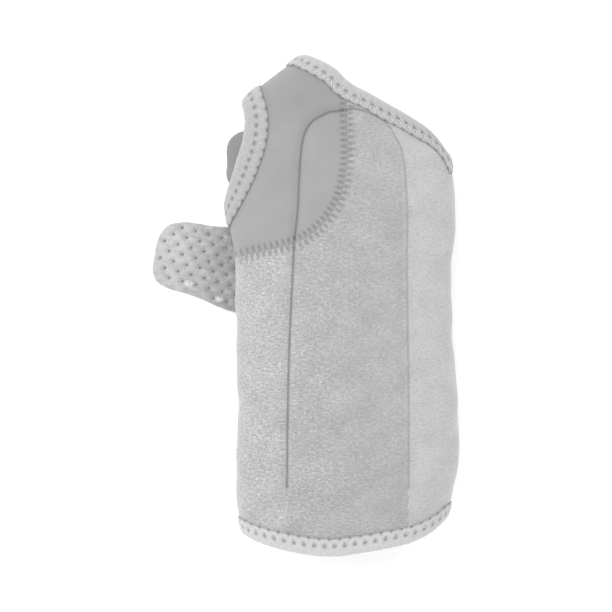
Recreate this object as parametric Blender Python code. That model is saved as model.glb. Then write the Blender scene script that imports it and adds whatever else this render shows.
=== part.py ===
"""Wrist brace: a hollow padded sleeve for hand, wrist and forearm, lying on its far side.

Metres, +Z up. The floor is Z = 0. Y runs from the forearm hem (-Y) to the hand edge (+Y), and
the thumb hole is in the left fold (-X). The origin is under the middle of the whole brace.

Every piece is read from one form, the outer face of the sleeve. A point of it has a turn,
from 0 at the left fold over the near side to 0.5 at the right fold and back under the far side
to 1, and a height along Y. The tables hold shares of the named sizes.
"""

import math
from collections import namedtuple

import bmesh
import bpy
import numpy as np

# The sleeve
SLEEVE_LENGTH = 0.2200  # along Y, hem to the peak of the hand edge
SLEEVE_WIDTH = 0.0990  # along X, left fold to right fold where it is widest
SLEEVE_DEPTH = 0.0480  # along Z, floor to crown
WALL = 0.0032  # foam with a knit on both faces
NEAR_FULLNESS = 2.5  # how square the near half of a section is, 2 being an ellipse
FAR_FULLNESS = 2.4  # the same for the half that it lies on
SETTLE = 1.20  # how far the far half would bulge past the floor if it were not flattened
BEND = 0.0040  # over how much height its bulge eases into the flat

# The folded tapes on the three edges
TAPE = 0.0007
EDGE_TAPE_WIDTH = 0.0056
THUMB_TAPE_WIDTH = 0.0092

# The thumb hole, measured on the form
THUMB_HOLE_LENGTH = 0.0425
THUMB_HOLE_REACH = 0.0170  # round the fold, from its middle to one side
THUMB_HOLE_SKEW = 0.35  # how much wider its hand end is
THUMB_HOLE_ALONG = 0.308  # its middle, a share of the sleeve's length

# The pocket's pressed seam
SEAM_RADIUS = 0.0011
SEAM_DEPTH = 0.0008

# The straps under the far side
WRIST_STRAP_REACH = 0.1150
WRIST_STRAP_WIDTH = 0.0390
WRIST_STRAP_THICKNESS = 0.0032
WRIST_STRAP_TILT = math.radians(9.0)
WRIST_STRAP_TIP = (-0.0690, 0.0210)
HAND_STRAP_REACH = 0.0850
HAND_STRAP_WIDTH = 0.0255
HAND_STRAP_THICKNESS = 0.0025
HAND_STRAP_TIP = (-0.0360, 0.0663)
HOLE_RADIUS = 0.0006
HOLE_PITCH = 0.0062  # along a row
HOLE_ROW_STEP = 0.0039  # between rows, which are staggered
HOLE_TILT = math.radians(14.5)
HOLE_START = (0.0215, -0.0006)  # one hole's place, from the tip
HOLE_MARGIN = 0.0016  # from a hole's edge to the strap's
HOLED_REACH = 0.0480  # how far from the tip the strap is pierced

# Clearances between pieces
SEAT_GAP = 0.0004
THUMB_TAPE_GAP = 0.0007
SEAM_KERF = 0.0003

# Fineness
COLUMNS = 36
RIM_STATIONS = 36
BEND_WORTH = 0.018  # length of flat cloth that gets as many columns as one radian of bend
THUMB_WORTH = 2.0  # how much closer together they are round the thumb hole
CUTTER_REACH = 0.2
MERGE = 0.00002

TAPE_STAND = SEAT_GAP + TAPE  # how far a tape stands proud of the wall
NOSE = WALL / 2 + SEAT_GAP + TAPE  # how far a tape's roll reaches past the wall's edge
WRIST_ROOM = WRIST_STRAP_THICKNESS + SEAT_GAP  # under the wall
HAND_ROOM = HAND_STRAP_THICKNESS + SEAT_GAP + THUMB_TAPE_GAP + TAPE  # the thumb's tape is between

# One row for each section: along is a share of the length, left and right of the width,
# and crown and fold, the heights of its top and of its two folds, of the depth
Station = namedtuple("Station", "along left right crown fold")
STATIONS = (
    Station(-0.510, -0.268, 0.590, 0.910, 0.430),
    Station(-0.475, -0.276, 0.596, 0.930, 0.430),
    Station(-0.435, -0.294, 0.617, 0.960, 0.440),
    Station(-0.400, -0.312, 0.640, 0.980, 0.450),
    Station(-0.360, -0.317, 0.664, 0.995, 0.455),
    Station(-0.310, -0.314, 0.679, 1.000, 0.460),
    Station(-0.255, -0.308, 0.683, 1.000, 0.460),
    Station(-0.200, -0.307, 0.678, 0.995, 0.455),
    Station(-0.100, -0.314, 0.661, 0.960, 0.450),
    Station(-0.015, -0.316, 0.650, 0.925, 0.440),
    Station(0.055, -0.317, 0.649, 0.905, 0.430),
    Station(0.115, -0.327, 0.657, 0.890, 0.420),
    Station(0.165, -0.346, 0.667, 0.875, 0.405),
    Station(0.215, -0.360, 0.668, 0.860, 0.395),
    Station(0.285, -0.362, 0.648, 0.830, 0.385),
    Station(0.340, -0.344, 0.610, 0.805, 0.375),
    Station(0.390, -0.304, 0.580, 0.785, 0.370),
    Station(0.422, -0.264, 0.563, 0.768, 0.360),
    Station(0.442, -0.214, 0.552, 0.752, 0.358),
    Station(0.465, -0.150, 0.538, 0.735, 0.355),
    Station(0.515, 0.004, 0.500, 0.690, 0.350),
)

# The two finished edges: across is the share from the left fold to the right one
Edge = namedtuple("Edge", "across along")
HEM_EDGE = (
    Edge(0.00, -0.461),
    Edge(0.05, -0.471),
    Edge(0.14, -0.482),
    Edge(0.24, -0.490),
    Edge(0.37, -0.497),
    Edge(0.45, -0.498),
    Edge(0.58, -0.492),
    Edge(0.71, -0.484),
    Edge(0.84, -0.474),
    Edge(0.90, -0.465),
    Edge(0.95, -0.453),
    Edge(1.00, -0.430),
)
HAND_EDGE = (
    Edge(0.00, 0.507),
    Edge(0.04, 0.507),
    Edge(0.12, 0.502),
    Edge(0.28, 0.488),
    Edge(0.40, 0.473),
    Edge(0.50, 0.453),
    Edge(0.57, 0.440),
    Edge(0.66, 0.426),
    Edge(0.78, 0.402),
    Edge(0.84, 0.389),
    Edge(0.89, 0.376),
    Edge(0.94, 0.361),
    Edge(0.97, 0.345),
    Edge(1.00, 0.310),
)

# How far the straps lift the far side off the floor, as shares of their two rooms
Lift = namedtuple("Lift", "along wrist hand")
STRAP_LIFT = (
    Lift(-0.520, 0.0, 0.0),
    Lift(-0.200, 0.0, 0.0),
    Lift(-0.120, 1.0, 0.0),
    Lift(0.150, 1.0, 0.0),
    Lift(0.200, 1.0, 1.0),
    Lift(0.370, 0.0, 1.0),
    Lift(0.440, 0.0, 0.0),
    Lift(0.520, 0.0, 0.0),
)

# The seam between the smooth thumb panel and the loop sleeve, as seen from above
Mark = namedtuple("Mark", "across_width along")
PANEL_SEAM = (
    Mark(0.180, 0.600),
    Mark(0.179, 0.383),
    Mark(0.183, 0.310),
    Mark(0.174, 0.260),
    Mark(0.152, 0.220),
    Mark(0.113, 0.185),
    Mark(0.051, 0.153),
    Mark(-0.029, 0.129),
    Mark(-0.139, 0.115),
    Mark(-0.251, 0.104),
    Mark(-0.450, 0.080),
)
# The pressed seam of the stay's pocket: up one side, round its head and down the other
POCKET_SEAM = (
    Mark(-0.086, -0.364),
    Mark(-0.081, -0.186),
    Mark(-0.073, -0.054),
    Mark(-0.062, 0.048),
    Mark(-0.053, 0.129),
    Mark(-0.038, 0.191),
    Mark(-0.033, 0.244),
    Mark(-0.024, 0.306),
    Mark(-0.015, 0.333),
    Mark(0.002, 0.353),
    Mark(0.029, 0.369),
    Mark(0.068, 0.379),
    Mark(0.108, 0.387),
    Mark(0.157, 0.389),
    Mark(0.210, 0.393),
    Mark(0.280, 0.385),
    Mark(0.346, 0.369),
    Mark(0.377, 0.353),
    Mark(0.399, 0.333),
    Mark(0.417, 0.319),
    Mark(0.428, 0.298),
    Mark(0.437, 0.270),
    Mark(0.443, 0.220),
    Mark(0.447, 0.179),
    Mark(0.444, 0.087),
    Mark(0.447, -0.058),
    Mark(0.450, -0.196),
    Mark(0.449, -0.364),
)

# The wrist strap's outline from its tip: reach is a share of its reach, the others of its width
StrapRow = namedtuple("StrapRow", "reach upper lower")
WRIST_STRAP_OUTLINE = (
    StrapRow(0.012, 0.320, -0.200),
    StrapRow(0.040, 0.425, -0.272),
    StrapRow(0.090, 0.480, -0.312),
    StrapRow(0.150, 0.492, -0.332),
    StrapRow(0.215, 0.490, -0.370),
    StrapRow(0.280, 0.512, -0.424),
    StrapRow(0.370, 0.538, -0.462),
    StrapRow(0.960, 0.530, -0.470),
)
HAND_STRAP_OUTLINE = (
    StrapRow(0.008, 0.300, -0.400),
    StrapRow(0.045, 0.440, -0.490),
    StrapRow(0.090, 0.500, -0.500),
    StrapRow(0.960, 0.490, -0.490),
)


def clear_scene():
    """Removes what the scene holds at the start."""
    for obj in list(bpy.data.objects):
        bpy.data.objects.remove(obj, do_unlink=True)


def collection(name):
    """A new collection in the scene."""
    made = bpy.data.collections.new(name)
    bpy.context.scene.collection.children.link(made)
    return made


def finish(name, colour, roughness, sheen=0.3):
    """A fabric's Principled material."""
    material = bpy.data.materials.new(name)
    material.use_nodes = True
    shader = material.node_tree.nodes["Principled BSDF"]
    shader.inputs["Base Color"].default_value = (*colour, 1.0)
    shader.inputs["Roughness"].default_value = roughness
    shader.inputs["Metallic"].default_value = 0.0
    shader.inputs["Sheen Weight"].default_value = sheen
    return material


def read_table(rows, column, at):
    """A smooth reading of one column of a table whose first column rises, with no overshoot."""
    table = np.array(rows, float)
    known, values = table[:, 0], table[:, column]
    secants = np.diff(values) / np.diff(known)
    product = secants[:-1] * secants[1:]
    total = np.where(product > 0, secants[:-1] + secants[1:], 1.0)
    slopes = np.concatenate([secants[:1], np.where(product > 0, 2 * product / total, 0.0), secants[-1:]])
    at = np.clip(np.asarray(at, float), known[0], known[-1])
    i = np.clip(np.searchsorted(known, at) - 1, 0, len(known) - 2)
    step = known[i + 1] - known[i]
    t = (at - known[i]) / step
    rise = t * t * (3 - 2 * t)
    return (
        values[i] * (1 - rise)
        + values[i + 1] * rise
        + step * t * (1 - t) * (slopes[i] * (1 - t) - slopes[i + 1] * t)
    )


def bent(value, fullness):
    """A cosine or sine pushed out towards the corner of a fuller section."""
    return np.sign(value) * np.abs(value) ** (2 / fullness)


def angle_table():
    """Turns and the section's angles there, so that equal turns are equal lengths of cloth."""
    samples = 720
    turns, angles = [], []
    fold = SLEEVE_DEPTH * 0.45
    halves = (
        (0.0, math.pi, NEAR_FULLNESS, SLEEVE_DEPTH - fold),
        (math.pi, 2 * math.pi, FAR_FULLNESS, fold),
    )
    for start, end, fullness, rise in halves:
        angle = np.linspace(start, end, samples)
        x = SLEEVE_WIDTH / 2 * bent(np.cos(angle), fullness)
        z = rise * bent(np.sin(angle), fullness)
        length = np.concatenate([[0], np.cumsum(np.hypot(np.diff(x), np.diff(z)))])
        turns.append((start / math.pi + length / length[-1]) / 2)
        angles.append(angle)
        if start == 0.0:
            near_cloth = length[-1]
    return np.concatenate(turns), np.concatenate(angles), near_cloth


TURNS, ANGLES, NEAR_CLOTH = angle_table()


def across_of(turn):
    """The share of the width from the left fold, at a turn."""
    angle = np.interp(np.mod(turn, 1.0), TURNS, ANGLES)
    fullness = np.where(angle < math.pi, NEAR_FULLNESS, FAR_FULLNESS)
    return (1 - bent(np.cos(angle), fullness)) / 2


def finished_edge(turn, table):
    """The height along Y of a finished edge, at a turn."""
    return SLEEVE_LENGTH * read_table(table, 1, across_of(turn))


def underside(turn, y):
    """How high the far side lies: on the floor, on the edges' tapes and over the straps."""
    rooms = ((1, WRIST_ROOM), (2, HAND_ROOM))
    lifts = [room * read_table(STRAP_LIFT, column, y / SLEEVE_LENGTH) for column, room in rooms]
    lifted = np.maximum(*lifts)
    for table, way in ((HEM_EDGE, 1.0), (HAND_EDGE, -1.0)):
        inward = way * (y - finished_edge(turn, table))
        share = np.clip((inward - 2 * EDGE_TAPE_WIDTH) / (2 * EDGE_TAPE_WIDTH), 0, 1)
        lifted = np.maximum(lifted, TAPE_STAND * (1 - share))
    return lifted


def form(turn, y):
    """Points of the sleeve's outer face."""
    turn, y = np.broadcast_arrays(np.mod(np.asarray(turn, float), 1.0), np.asarray(y, float))
    angle = np.interp(turn, TURNS, ANGLES)
    along = y / SLEEVE_LENGTH
    left = SLEEVE_WIDTH * read_table(STATIONS, 1, along)
    right = SLEEVE_WIDTH * read_table(STATIONS, 2, along)
    crown = SLEEVE_DEPTH * read_table(STATIONS, 3, along)
    fold = SLEEVE_DEPTH * read_table(STATIONS, 4, along)
    near = angle < math.pi
    fullness = np.where(near, NEAR_FULLNESS, FAR_FULLNESS)
    x = left + (right - left) * (1 - bent(np.cos(angle), fullness)) / 2
    rise = np.where(near, crown - fold, fold * SETTLE)
    z = fold + rise * bent(np.sin(angle), fullness)
    floor = underside(turn, y)
    blend = np.clip(BEND - np.abs(z - floor), 0, None) ** 2 / (4 * BEND)
    z = np.where(near, z, np.maximum(z, floor) + blend)
    return np.stack([x, y, z], axis=-1)


def slopes_of(turn, y, step=0.0004):
    """The form's rates of change with a turn and with Y."""
    by_turn = (form(turn + step, y) - form(turn - step, y)) / (2 * step)
    by_y = (form(turn, y + step) - form(turn, y - step)) / (2 * step)
    return by_turn, by_y


def normal_of(turn, y):
    """The outward normals of the form."""
    by_turn, by_y = slopes_of(turn, y)
    normal = np.cross(by_turn, by_y)
    return normal / np.linalg.norm(normal, axis=-1, keepdims=True)


def edge_height(turn, table, inward):
    """The height along Y that lies so far inward of a finished edge, measured square to it."""
    y = finished_edge(turn, table)
    step = 0.002
    ahead = form(turn + step, finished_edge(turn + step, table))
    behind = form(turn - step, finished_edge(turn - step, table))
    along_edge = ahead - behind
    along_edge /= np.linalg.norm(along_edge, axis=-1, keepdims=True)
    by_y = slopes_of(turn, y)[1]
    square = np.linalg.norm(np.cross(by_y, along_edge), axis=-1)
    way = 1.0 if table is HEM_EDGE else -1.0
    return y + way * inward / square


def turn_columns():
    """Turns of the mesh's columns, closer together where the section bends."""
    turns = np.linspace(0.0, 1.0, 721)
    section = form(turns, 0.0)[:, [0, 2]]
    step = np.diff(section, axis=0)
    heading = np.unwrap(np.arctan2(step[:, 1], step[:, 0]))
    bend = np.abs(np.gradient(heading))
    by_thumb = np.abs(turns[1:] - np.round(turns[1:])) < 0.14
    length = np.hypot(*step.T) * np.where(by_thumb, THUMB_WORTH, 1.0)
    worth = np.concatenate([[0.0], np.cumsum(length + BEND_WORTH * bend)])
    return np.interp(np.arange(COLUMNS) / COLUMNS * worth[-1], worth, turns)


def row_shares():
    """Where the rows between the two tapes lie, closer together beside the thumb hole."""
    forearm = np.linspace(0.0, 0.62, 9)
    hand = np.linspace(0.62, 1.0, 20)
    return np.concatenate([forearm, hand[1:]])


def face_outward(bm):
    """Turns a closed mesh's faces outward."""
    bmesh.ops.recalc_face_normals(bm, faces=bm.faces)
    if bm.calc_volume(signed=True) < 0:
        bmesh.ops.reverse_faces(bm, faces=bm.faces)


def mesh_object(name, bm, into, material=None):
    """A new object from a bmesh."""
    mesh = bpy.data.meshes.new(name)
    bm.to_mesh(mesh)
    bm.free()
    obj = bpy.data.objects.new(name, mesh)
    into.objects.link(obj)
    if material:
        mesh.materials.append(material)
    return obj


def ring_mesh(rows):
    """A closed ring from rows of points, each row closed and the last joined to the first."""
    rows = np.array(rows)
    count, columns = rows.shape[:2]
    bm = bmesh.new()
    bmesh.ops.create_grid(bm, x_segments=columns, y_segments=count, size=1.0)
    for vert in bm.verts:
        column = round((vert.co.x + 1) / 2 * columns) % columns
        row = round((vert.co.y + 1) / 2 * count) % count
        vert.co = rows[row, column]
    bmesh.ops.remove_doubles(bm, verts=bm.verts, dist=MERGE)
    bmesh.ops.triangulate(bm, faces=bm.faces, quad_method="SHORT_EDGE")
    face_outward(bm)
    return bm


def boolean(obj, operation, cutter):
    """Cuts or keeps what a cutter covers."""
    modifier = obj.modifiers.new(operation.title(), "BOOLEAN")
    modifier.operation = operation
    modifier.object = cutter
    modifier.solver = "EXACT"


def as_helper(obj):
    """Marks a cutter, which isn't a piece."""
    obj.hide_render = True
    obj.display_type = "WIRE"
    return obj


def shade(obj):
    """Shades a round piece smooth, with its sharp edges kept."""
    obj.data.shade_smooth()
    obj.data.set_sharp_from_angle(angle=math.radians(40))


def mesh_normals(points):
    """The normals at a grid's points, from the faces that meet there."""
    right = np.roll(points, -1, axis=1)
    diagonals = right[1:] - points[:-1], points[1:] - right[:-1]
    faces = np.cross(*diagonals)
    faces = np.concatenate([faces[:1], faces, faces[-1:]])
    faces = faces[:-1] + faces[1:]
    normals = faces + np.roll(faces, 1, axis=1)
    return normals / np.linalg.norm(normals, axis=-1, keepdims=True)


def outer_grid():
    """The sleeve's outer face: rows of points from the hem to the hand edge, and their normals."""
    turns = turn_columns()
    hem, hem_band = (edge_height(turns, HEM_EDGE, NOSE + w) for w in (0, EDGE_TAPE_WIDTH))
    hand, hand_band = (edge_height(turns, HAND_EDGE, NOSE + w) for w in (0, EDGE_TAPE_WIDTH))
    heights = [hem] + [hem_band + (hand_band - hem_band) * s for s in row_shares()] + [hand]
    points = np.array([form(turns, y) for y in heights])
    return points, mesh_normals(points)


def sleeve_shell(name, into, material):
    """The whole wall, before it is cut."""
    points, normals = outer_grid()
    inner = (points - normals * WALL)[::-1]
    return mesh_object(name, ring_mesh([*points, *inner]), into, material)


def tape_rows(path, gap):
    """Rows round a folded tape, from (points, normals) at the wall's edge and then inward."""
    edge, normal = path[0]
    tangent = path[1][0] - edge
    tangent /= np.linalg.norm(tangent, axis=-1, keepdims=True)
    rows = []
    for stand, way in ((gap + TAPE, 1), (gap, -1)):
        radius = WALL / 2 + stand
        roll = []
        for degrees in (45, 90, 135):
            a = math.radians(degrees)
            arm = normal * math.cos(a) - tangent * math.sin(a)
            roll.append(edge - normal * WALL / 2 + arm * radius)
        outer = [p + n * stand for p, n in reversed(path)]
        inner = [p - n * (WALL + stand) for p, n in path]
        rows += (outer + roll + inner)[::way]
    return rows


def edge_tape(name, at_hem, into, material):
    """A tape folded over the hem or the hand edge, on the columns of the wall."""
    points, normals = outer_grid()
    way = 1 if at_hem else -1
    path = list(zip(points[::way][:2], normals[::way][:2]))
    tape = mesh_object(name, ring_mesh(tape_rows(path, SEAT_GAP)), into, material)
    shade(tape)
    return tape


def thumb_rim(count):
    """Turns and heights along Y of points round the thumb hole's finished edge."""
    psi = np.arange(count) / count * 2 * math.pi
    y = SLEEVE_LENGTH * THUMB_HOLE_ALONG + THUMB_HOLE_LENGTH / 2 * np.cos(psi)
    round_fold = THUMB_HOLE_REACH * np.sin(psi) * (1 + THUMB_HOLE_SKEW * np.cos(psi))
    return round_fold / (2 * NEAR_CLOTH), y


def walk(turn, y, direction, distance, steps=4):
    """Goes along the form from a point, in the direction of a vector, for a distance."""
    for _ in range(steps):
        by_turn, by_y = slopes_of(turn, y)
        normal = normal_of(turn, y)
        flat = direction - normal * np.sum(direction * normal, axis=-1, keepdims=True)
        flat /= np.linalg.norm(flat, axis=-1, keepdims=True)
        tt = np.sum(by_turn * by_turn, axis=-1)
        ty = np.sum(by_turn * by_y, axis=-1)
        yy = np.sum(by_y * by_y, axis=-1)
        t, s = np.sum(by_turn * flat, axis=-1), np.sum(by_y * flat, axis=-1)
        det = tt * yy - ty * ty
        length = distance / steps
        turn = turn + length * (t * yy - s * ty) / det
        y = y + length * (s * tt - t * ty) / det
    return turn, y


def rim_frame(count, inward):
    """Points that lie so far inward of the thumb hole's finished edge, and normals there."""
    turn, y = thumb_rim(count)
    edge = form(turn, y)
    tangent = np.roll(edge, -1, axis=0) - np.roll(edge, 1, axis=0)
    direction = np.cross(normal_of(turn, y), tangent)
    middle = form(0.0, SLEEVE_LENGTH * THUMB_HOLE_ALONG)
    outward = np.sum(direction * (edge - middle), axis=-1, keepdims=True)
    direction = direction * np.where(outward.mean() < 0, -1.0, 1.0)
    turn, y = walk(turn, y, direction, inward)
    return form(turn, y), normal_of(turn, y)


def thumb_plug(into):
    """What is cut out of the wall for the thumb, square to the wall all round."""
    reach_out, reach_in = 2 * WALL, 2.2 * WALL
    points, normal = rim_frame(RIM_STATIONS, NOSE)
    outer, inner = points + normal * reach_out, points - normal * reach_in
    bm = bmesh.new()
    bmesh.ops.create_cone(
        bm, cap_ends=True, cap_tris=True, segments=RIM_STATIONS, radius1=1.0, radius2=1.0, depth=2.0
    )
    middle = points.mean(axis=0)
    bulge = np.array([THUMB_HOLE_REACH * 1.6, 0.0, 0.0])
    for vert in bm.verts:
        ring, centre = (outer, middle - bulge) if vert.co.z > 0 else (inner, middle + bulge)
        if vert.co.xy.length < 0.5:
            vert.co = centre
        else:
            around = math.atan2(vert.co.y, vert.co.x) / (2 * math.pi)
            vert.co = ring[round(around * RIM_STATIONS) % RIM_STATIONS]
    face_outward(bm)
    return as_helper(mesh_object("thumb_plug", bm, into))


def thumb_tape(into, material):
    """The tape folded over the thumb hole's edge, following the wall's curve."""
    path = [rim_frame(RIM_STATIONS, NOSE + THUMB_TAPE_WIDTH * s) for s in (0.0, 0.33, 0.66, 1.0)]
    rows = tape_rows(path, THUMB_TAPE_GAP)
    tape = mesh_object("thumb_binding", ring_mesh(rows), into, material)
    shade(tape)
    return tape


def turn_at(x, y):
    """The turn of the near side's point over a place on the floor."""
    low, high = np.zeros_like(x), np.full_like(x, 0.5)
    for _ in range(40):
        middle = (low + high) / 2
        right_of = form(middle, y)[..., 0] > x
        high = np.where(right_of, middle, high)
        low = np.where(right_of, low, middle)
    return (low + high) / 2


def tube_mesh(name, points, radius, into):
    """A round cutter along points, as a closed mesh."""
    curve = bpy.data.curves.new(name, "CURVE")
    curve.dimensions = "3D"
    curve.bevel_depth = radius
    curve.bevel_resolution = 1
    curve.use_fill_caps = True
    spline = curve.splines.new("POLY")
    spline.points.add(len(points) - 1)
    for point, co in zip(spline.points, points):
        point.co = (*co, 1.0)
    obj = bpy.data.objects.new(name, curve)
    into.objects.link(obj)
    return curve_to_mesh(obj, into)


def curve_to_mesh(obj, into):
    """The mesh of a curve object, welded, in its place."""
    bpy.context.view_layer.update()
    graph = bpy.context.evaluated_depsgraph_get()
    mesh = bpy.data.meshes.new_from_object(obj.evaluated_get(graph))
    bm = bmesh.new()
    bm.from_mesh(mesh)
    bmesh.ops.remove_doubles(bm, verts=bm.verts, dist=MERGE)
    face_outward(bm)
    bm.to_mesh(mesh)
    bm.free()
    name = obj.name
    made = bpy.data.objects.new(name, mesh)
    made.matrix_world = obj.matrix_world
    bpy.data.objects.remove(obj, do_unlink=True)
    made.name = name
    into.objects.link(made)
    return made


def smooth_path(marks, count):
    """Evenly spaced X and Y along a smooth line through marks."""
    rows = np.array(marks, float)
    length = np.concatenate([[0], np.cumsum(np.hypot(*np.diff(rows, axis=0).T))])
    table = np.column_stack([length, rows])
    steps = np.linspace(0, length[-1], count)
    return SLEEVE_WIDTH * read_table(table, 1, steps), SLEEVE_LENGTH * read_table(table, 2, steps)


def pocket_groove(into):
    """The cutter that presses the pocket's seam into the near side."""
    x, y = smooth_path(POCKET_SEAM, 60)
    turn = turn_at(x, y)
    centre = form(turn, y) + normal_of(turn, y) * (SEAM_RADIUS - SEAM_DEPTH)
    return as_helper(tube_mesh("pocket_groove", centre, SEAM_RADIUS, into))


def panel_prism(name, kerf, into):
    """An upright block over the thumb panel, its seam side moved towards the panel by a kerf."""
    seam = np.column_stack(smooth_path(PANEL_SEAM, 30))
    tangent = np.gradient(seam, axis=0)
    tangent /= np.linalg.norm(tangent, axis=1, keepdims=True)
    seam = seam + kerf * np.column_stack([tangent[:, 1], -tangent[:, 0]])
    outline = [*seam, (-CUTTER_REACH, seam[-1][1]), (-CUTTER_REACH, seam[0][1])]
    bm = bmesh.new()
    floor = bm.faces.new([bm.verts.new((x, y, -SLEEVE_DEPTH)) for x, y in outline])
    raised = bmesh.ops.extrude_face_region(bm, geom=[floor])
    top = [v for v in raised["geom"] if isinstance(v, bmesh.types.BMVert)]
    bmesh.ops.translate(bm, verts=top, vec=(0, 0, 3 * SLEEVE_DEPTH))
    face_outward(bm)
    return as_helper(mesh_object(name, bm, into))


def strap_outline(rows, reach, width):
    """Points round a strap that starts with its tip at the origin and runs along +X."""
    upper = [(row.reach * reach, row.upper * width) for row in rows]
    lower = [(row.reach * reach, row.lower * width) for row in rows]
    middle = (rows[0].upper + rows[0].lower) / 2 * width
    tip = [(0.0, middle)]
    end = [(reach, upper[-1][1] - width * 0.06), (reach, lower[-1][1] + width * 0.06)]
    return tip + upper + end + lower[::-1]


def flat_strap(name, outline, thickness, into, material):
    """A strap cut from sheet, lying on the floor, as a mesh."""
    curve = bpy.data.curves.new(name, "CURVE")
    curve.dimensions = "2D"
    curve.fill_mode = "BOTH"
    curve.extrude = thickness / 2
    curve.resolution_u = 3
    spline = curve.splines.new("BEZIER")
    spline.bezier_points.add(len(outline) - 1)
    spline.use_cyclic_u = True
    for point, (x, y) in zip(spline.bezier_points, outline):
        point.co = (x, y, 0.0)
        point.handle_left_type = point.handle_right_type = "AUTO"
    obj = bpy.data.objects.new(name, curve)
    into.objects.link(obj)
    obj.location.z = thickness / 2
    strap = curve_to_mesh(obj, into)
    strap.data.materials.append(material)
    return strap


def inside_outline(x, y, outline, margin):
    """Whether a place lies in an outline and at least a margin from its edge."""
    inside, nearest = False, 1.0
    for (ax, ay), (bx, by) in zip(outline, outline[1:] + outline[:1]):
        if (ay > y) != (by > y) and x < ax + (y - ay) / (by - ay) * (bx - ax):
            inside = not inside
        run = (bx - ax) ** 2 + (by - ay) ** 2
        t = min(1.0, max(0.0, ((x - ax) * (bx - ax) + (y - ay) * (by - ay)) / run))
        nearest = min(nearest, math.hypot(ax + t * (bx - ax) - x, ay + t * (by - ay) - y))
    return inside and nearest >= margin


def hole_places(outline):
    """The centres of the strap's holes, in staggered rows, in the strap's own plane."""
    places = []
    turn = WRIST_STRAP_TILT - HOLE_TILT
    for row in range(-20, 21):
        for column in range(-20, 21):
            along = (column + 0.5 * (row % 2)) * HOLE_PITCH
            across = row * HOLE_ROW_STEP
            x = HOLE_START[0] + along * math.cos(turn) - across * math.sin(turn)
            y = HOLE_START[1] + along * math.sin(turn) + across * math.cos(turn)
            if x < HOLED_REACH and inside_outline(x, y, outline, HOLE_MARGIN + HOLE_RADIUS):
                places.append((x, y))
    return places


def hole_cutter(outline, thickness, into):
    """All the strap's holes, as one cutter of upright pins."""
    bm = bmesh.new()
    for x, y in hole_places(outline):
        pin = bmesh.ops.create_cone(
            bm, cap_ends=True, segments=6, radius1=HOLE_RADIUS, radius2=HOLE_RADIUS,
            depth=3 * thickness,
        )
        bmesh.ops.translate(bm, verts=pin["verts"], vec=(x, y, thickness / 2))
    return as_helper(mesh_object("strap_holes", bm, into))


def wrist_strap(into, cutters, material):
    """The pierced strap under the wrist, whose tip lies free beside the sleeve."""
    outline = strap_outline(WRIST_STRAP_OUTLINE, WRIST_STRAP_REACH, WRIST_STRAP_WIDTH)
    strap = flat_strap("wrist_strap", outline, WRIST_STRAP_THICKNESS, into, material)
    holes = hole_cutter(outline, WRIST_STRAP_THICKNESS, cutters)
    for obj in (strap, holes):
        obj.location.x, obj.location.y = WRIST_STRAP_TIP
        obj.rotation_euler.z = -WRIST_STRAP_TILT
    boolean(strap, "DIFFERENCE", holes)
    return strap


def hand_strap(into, material):
    """The smooth strap under the palm, whose tip shows in the thumb hole."""
    outline = strap_outline(HAND_STRAP_OUTLINE, HAND_STRAP_REACH, HAND_STRAP_WIDTH)
    strap = flat_strap("hand_strap", outline, HAND_STRAP_THICKNESS, into, material)
    strap.location.x, strap.location.y = HAND_STRAP_TIP
    return strap


def centre_on_floor(pieces):
    """Moves everything so that the middle of the pieces' box is over the origin."""
    bpy.context.view_layer.update()
    graph = bpy.context.evaluated_depsgraph_get()
    places = []
    for piece in pieces.objects:
        placed = piece.evaluated_get(graph)
        places += [placed.matrix_world @ vert.co for vert in placed.to_mesh().vertices]
        placed.to_mesh_clear()
    places = np.array(places)
    middle = (places.min(axis=0) + places.max(axis=0)) / 2
    for obj in bpy.context.scene.objects:
        obj.location.x -= middle[0]
        obj.location.y -= middle[1]


def build():
    """Makes every piece of the brace."""
    clear_scene()
    pieces, cutters = collection("wrist_brace"), collection("cutters")
    loop = finish("loop_pile", (0.52, 0.52, 0.52), 0.95, 0.6)
    knit = finish("smooth_knit", (0.40, 0.40, 0.40), 0.8)
    tape = finish("binding_tape", (0.58, 0.58, 0.58), 0.85)
    foam = finish("pierced_foam", (0.50, 0.50, 0.50), 0.85)
    plug, groove = thumb_plug(cutters), pocket_groove(cutters)
    sleeve = sleeve_shell("loop_sleeve", pieces, loop)
    panel = sleeve_shell("thumb_panel", pieces, knit)
    for wall in (sleeve, panel):
        boolean(wall, "DIFFERENCE", plug)
        boolean(wall, "DIFFERENCE", groove)
        shade(wall)
    boolean(sleeve, "DIFFERENCE", panel_prism("panel_prism", 0.0, cutters))
    boolean(panel, "INTERSECT", panel_prism("panel_prism_inner", SEAM_KERF, cutters))
    edge_tape("hem_binding", True, pieces, tape)
    edge_tape("hand_binding", False, pieces, tape)
    thumb_tape(pieces, tape)
    wrist_strap(pieces, cutters, foam)
    hand_strap(pieces, knit)
    centre_on_floor(pieces)


if __name__ == "__main__":
    build()
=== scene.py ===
"""Looks of the wrist brace: cloth, bindings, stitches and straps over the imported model.

Metres, +Z up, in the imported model's frame. The sleeve's form is read from the same named sizes
and tables as the model's source, so each piece lies where its solid is. A point of the form has
a turn, from 0 at the left fold over the near side to 0.5 at the right fold and back under the
far side to 1, and a height along Y.
"""

from __future__ import annotations

import logging
import math
from dataclasses import dataclass, field
from enum import Enum
from functools import cached_property
from typing import Callable, Sequence, Union

import bmesh
import bpy
import numpy as np
from mathutils import Matrix


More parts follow.
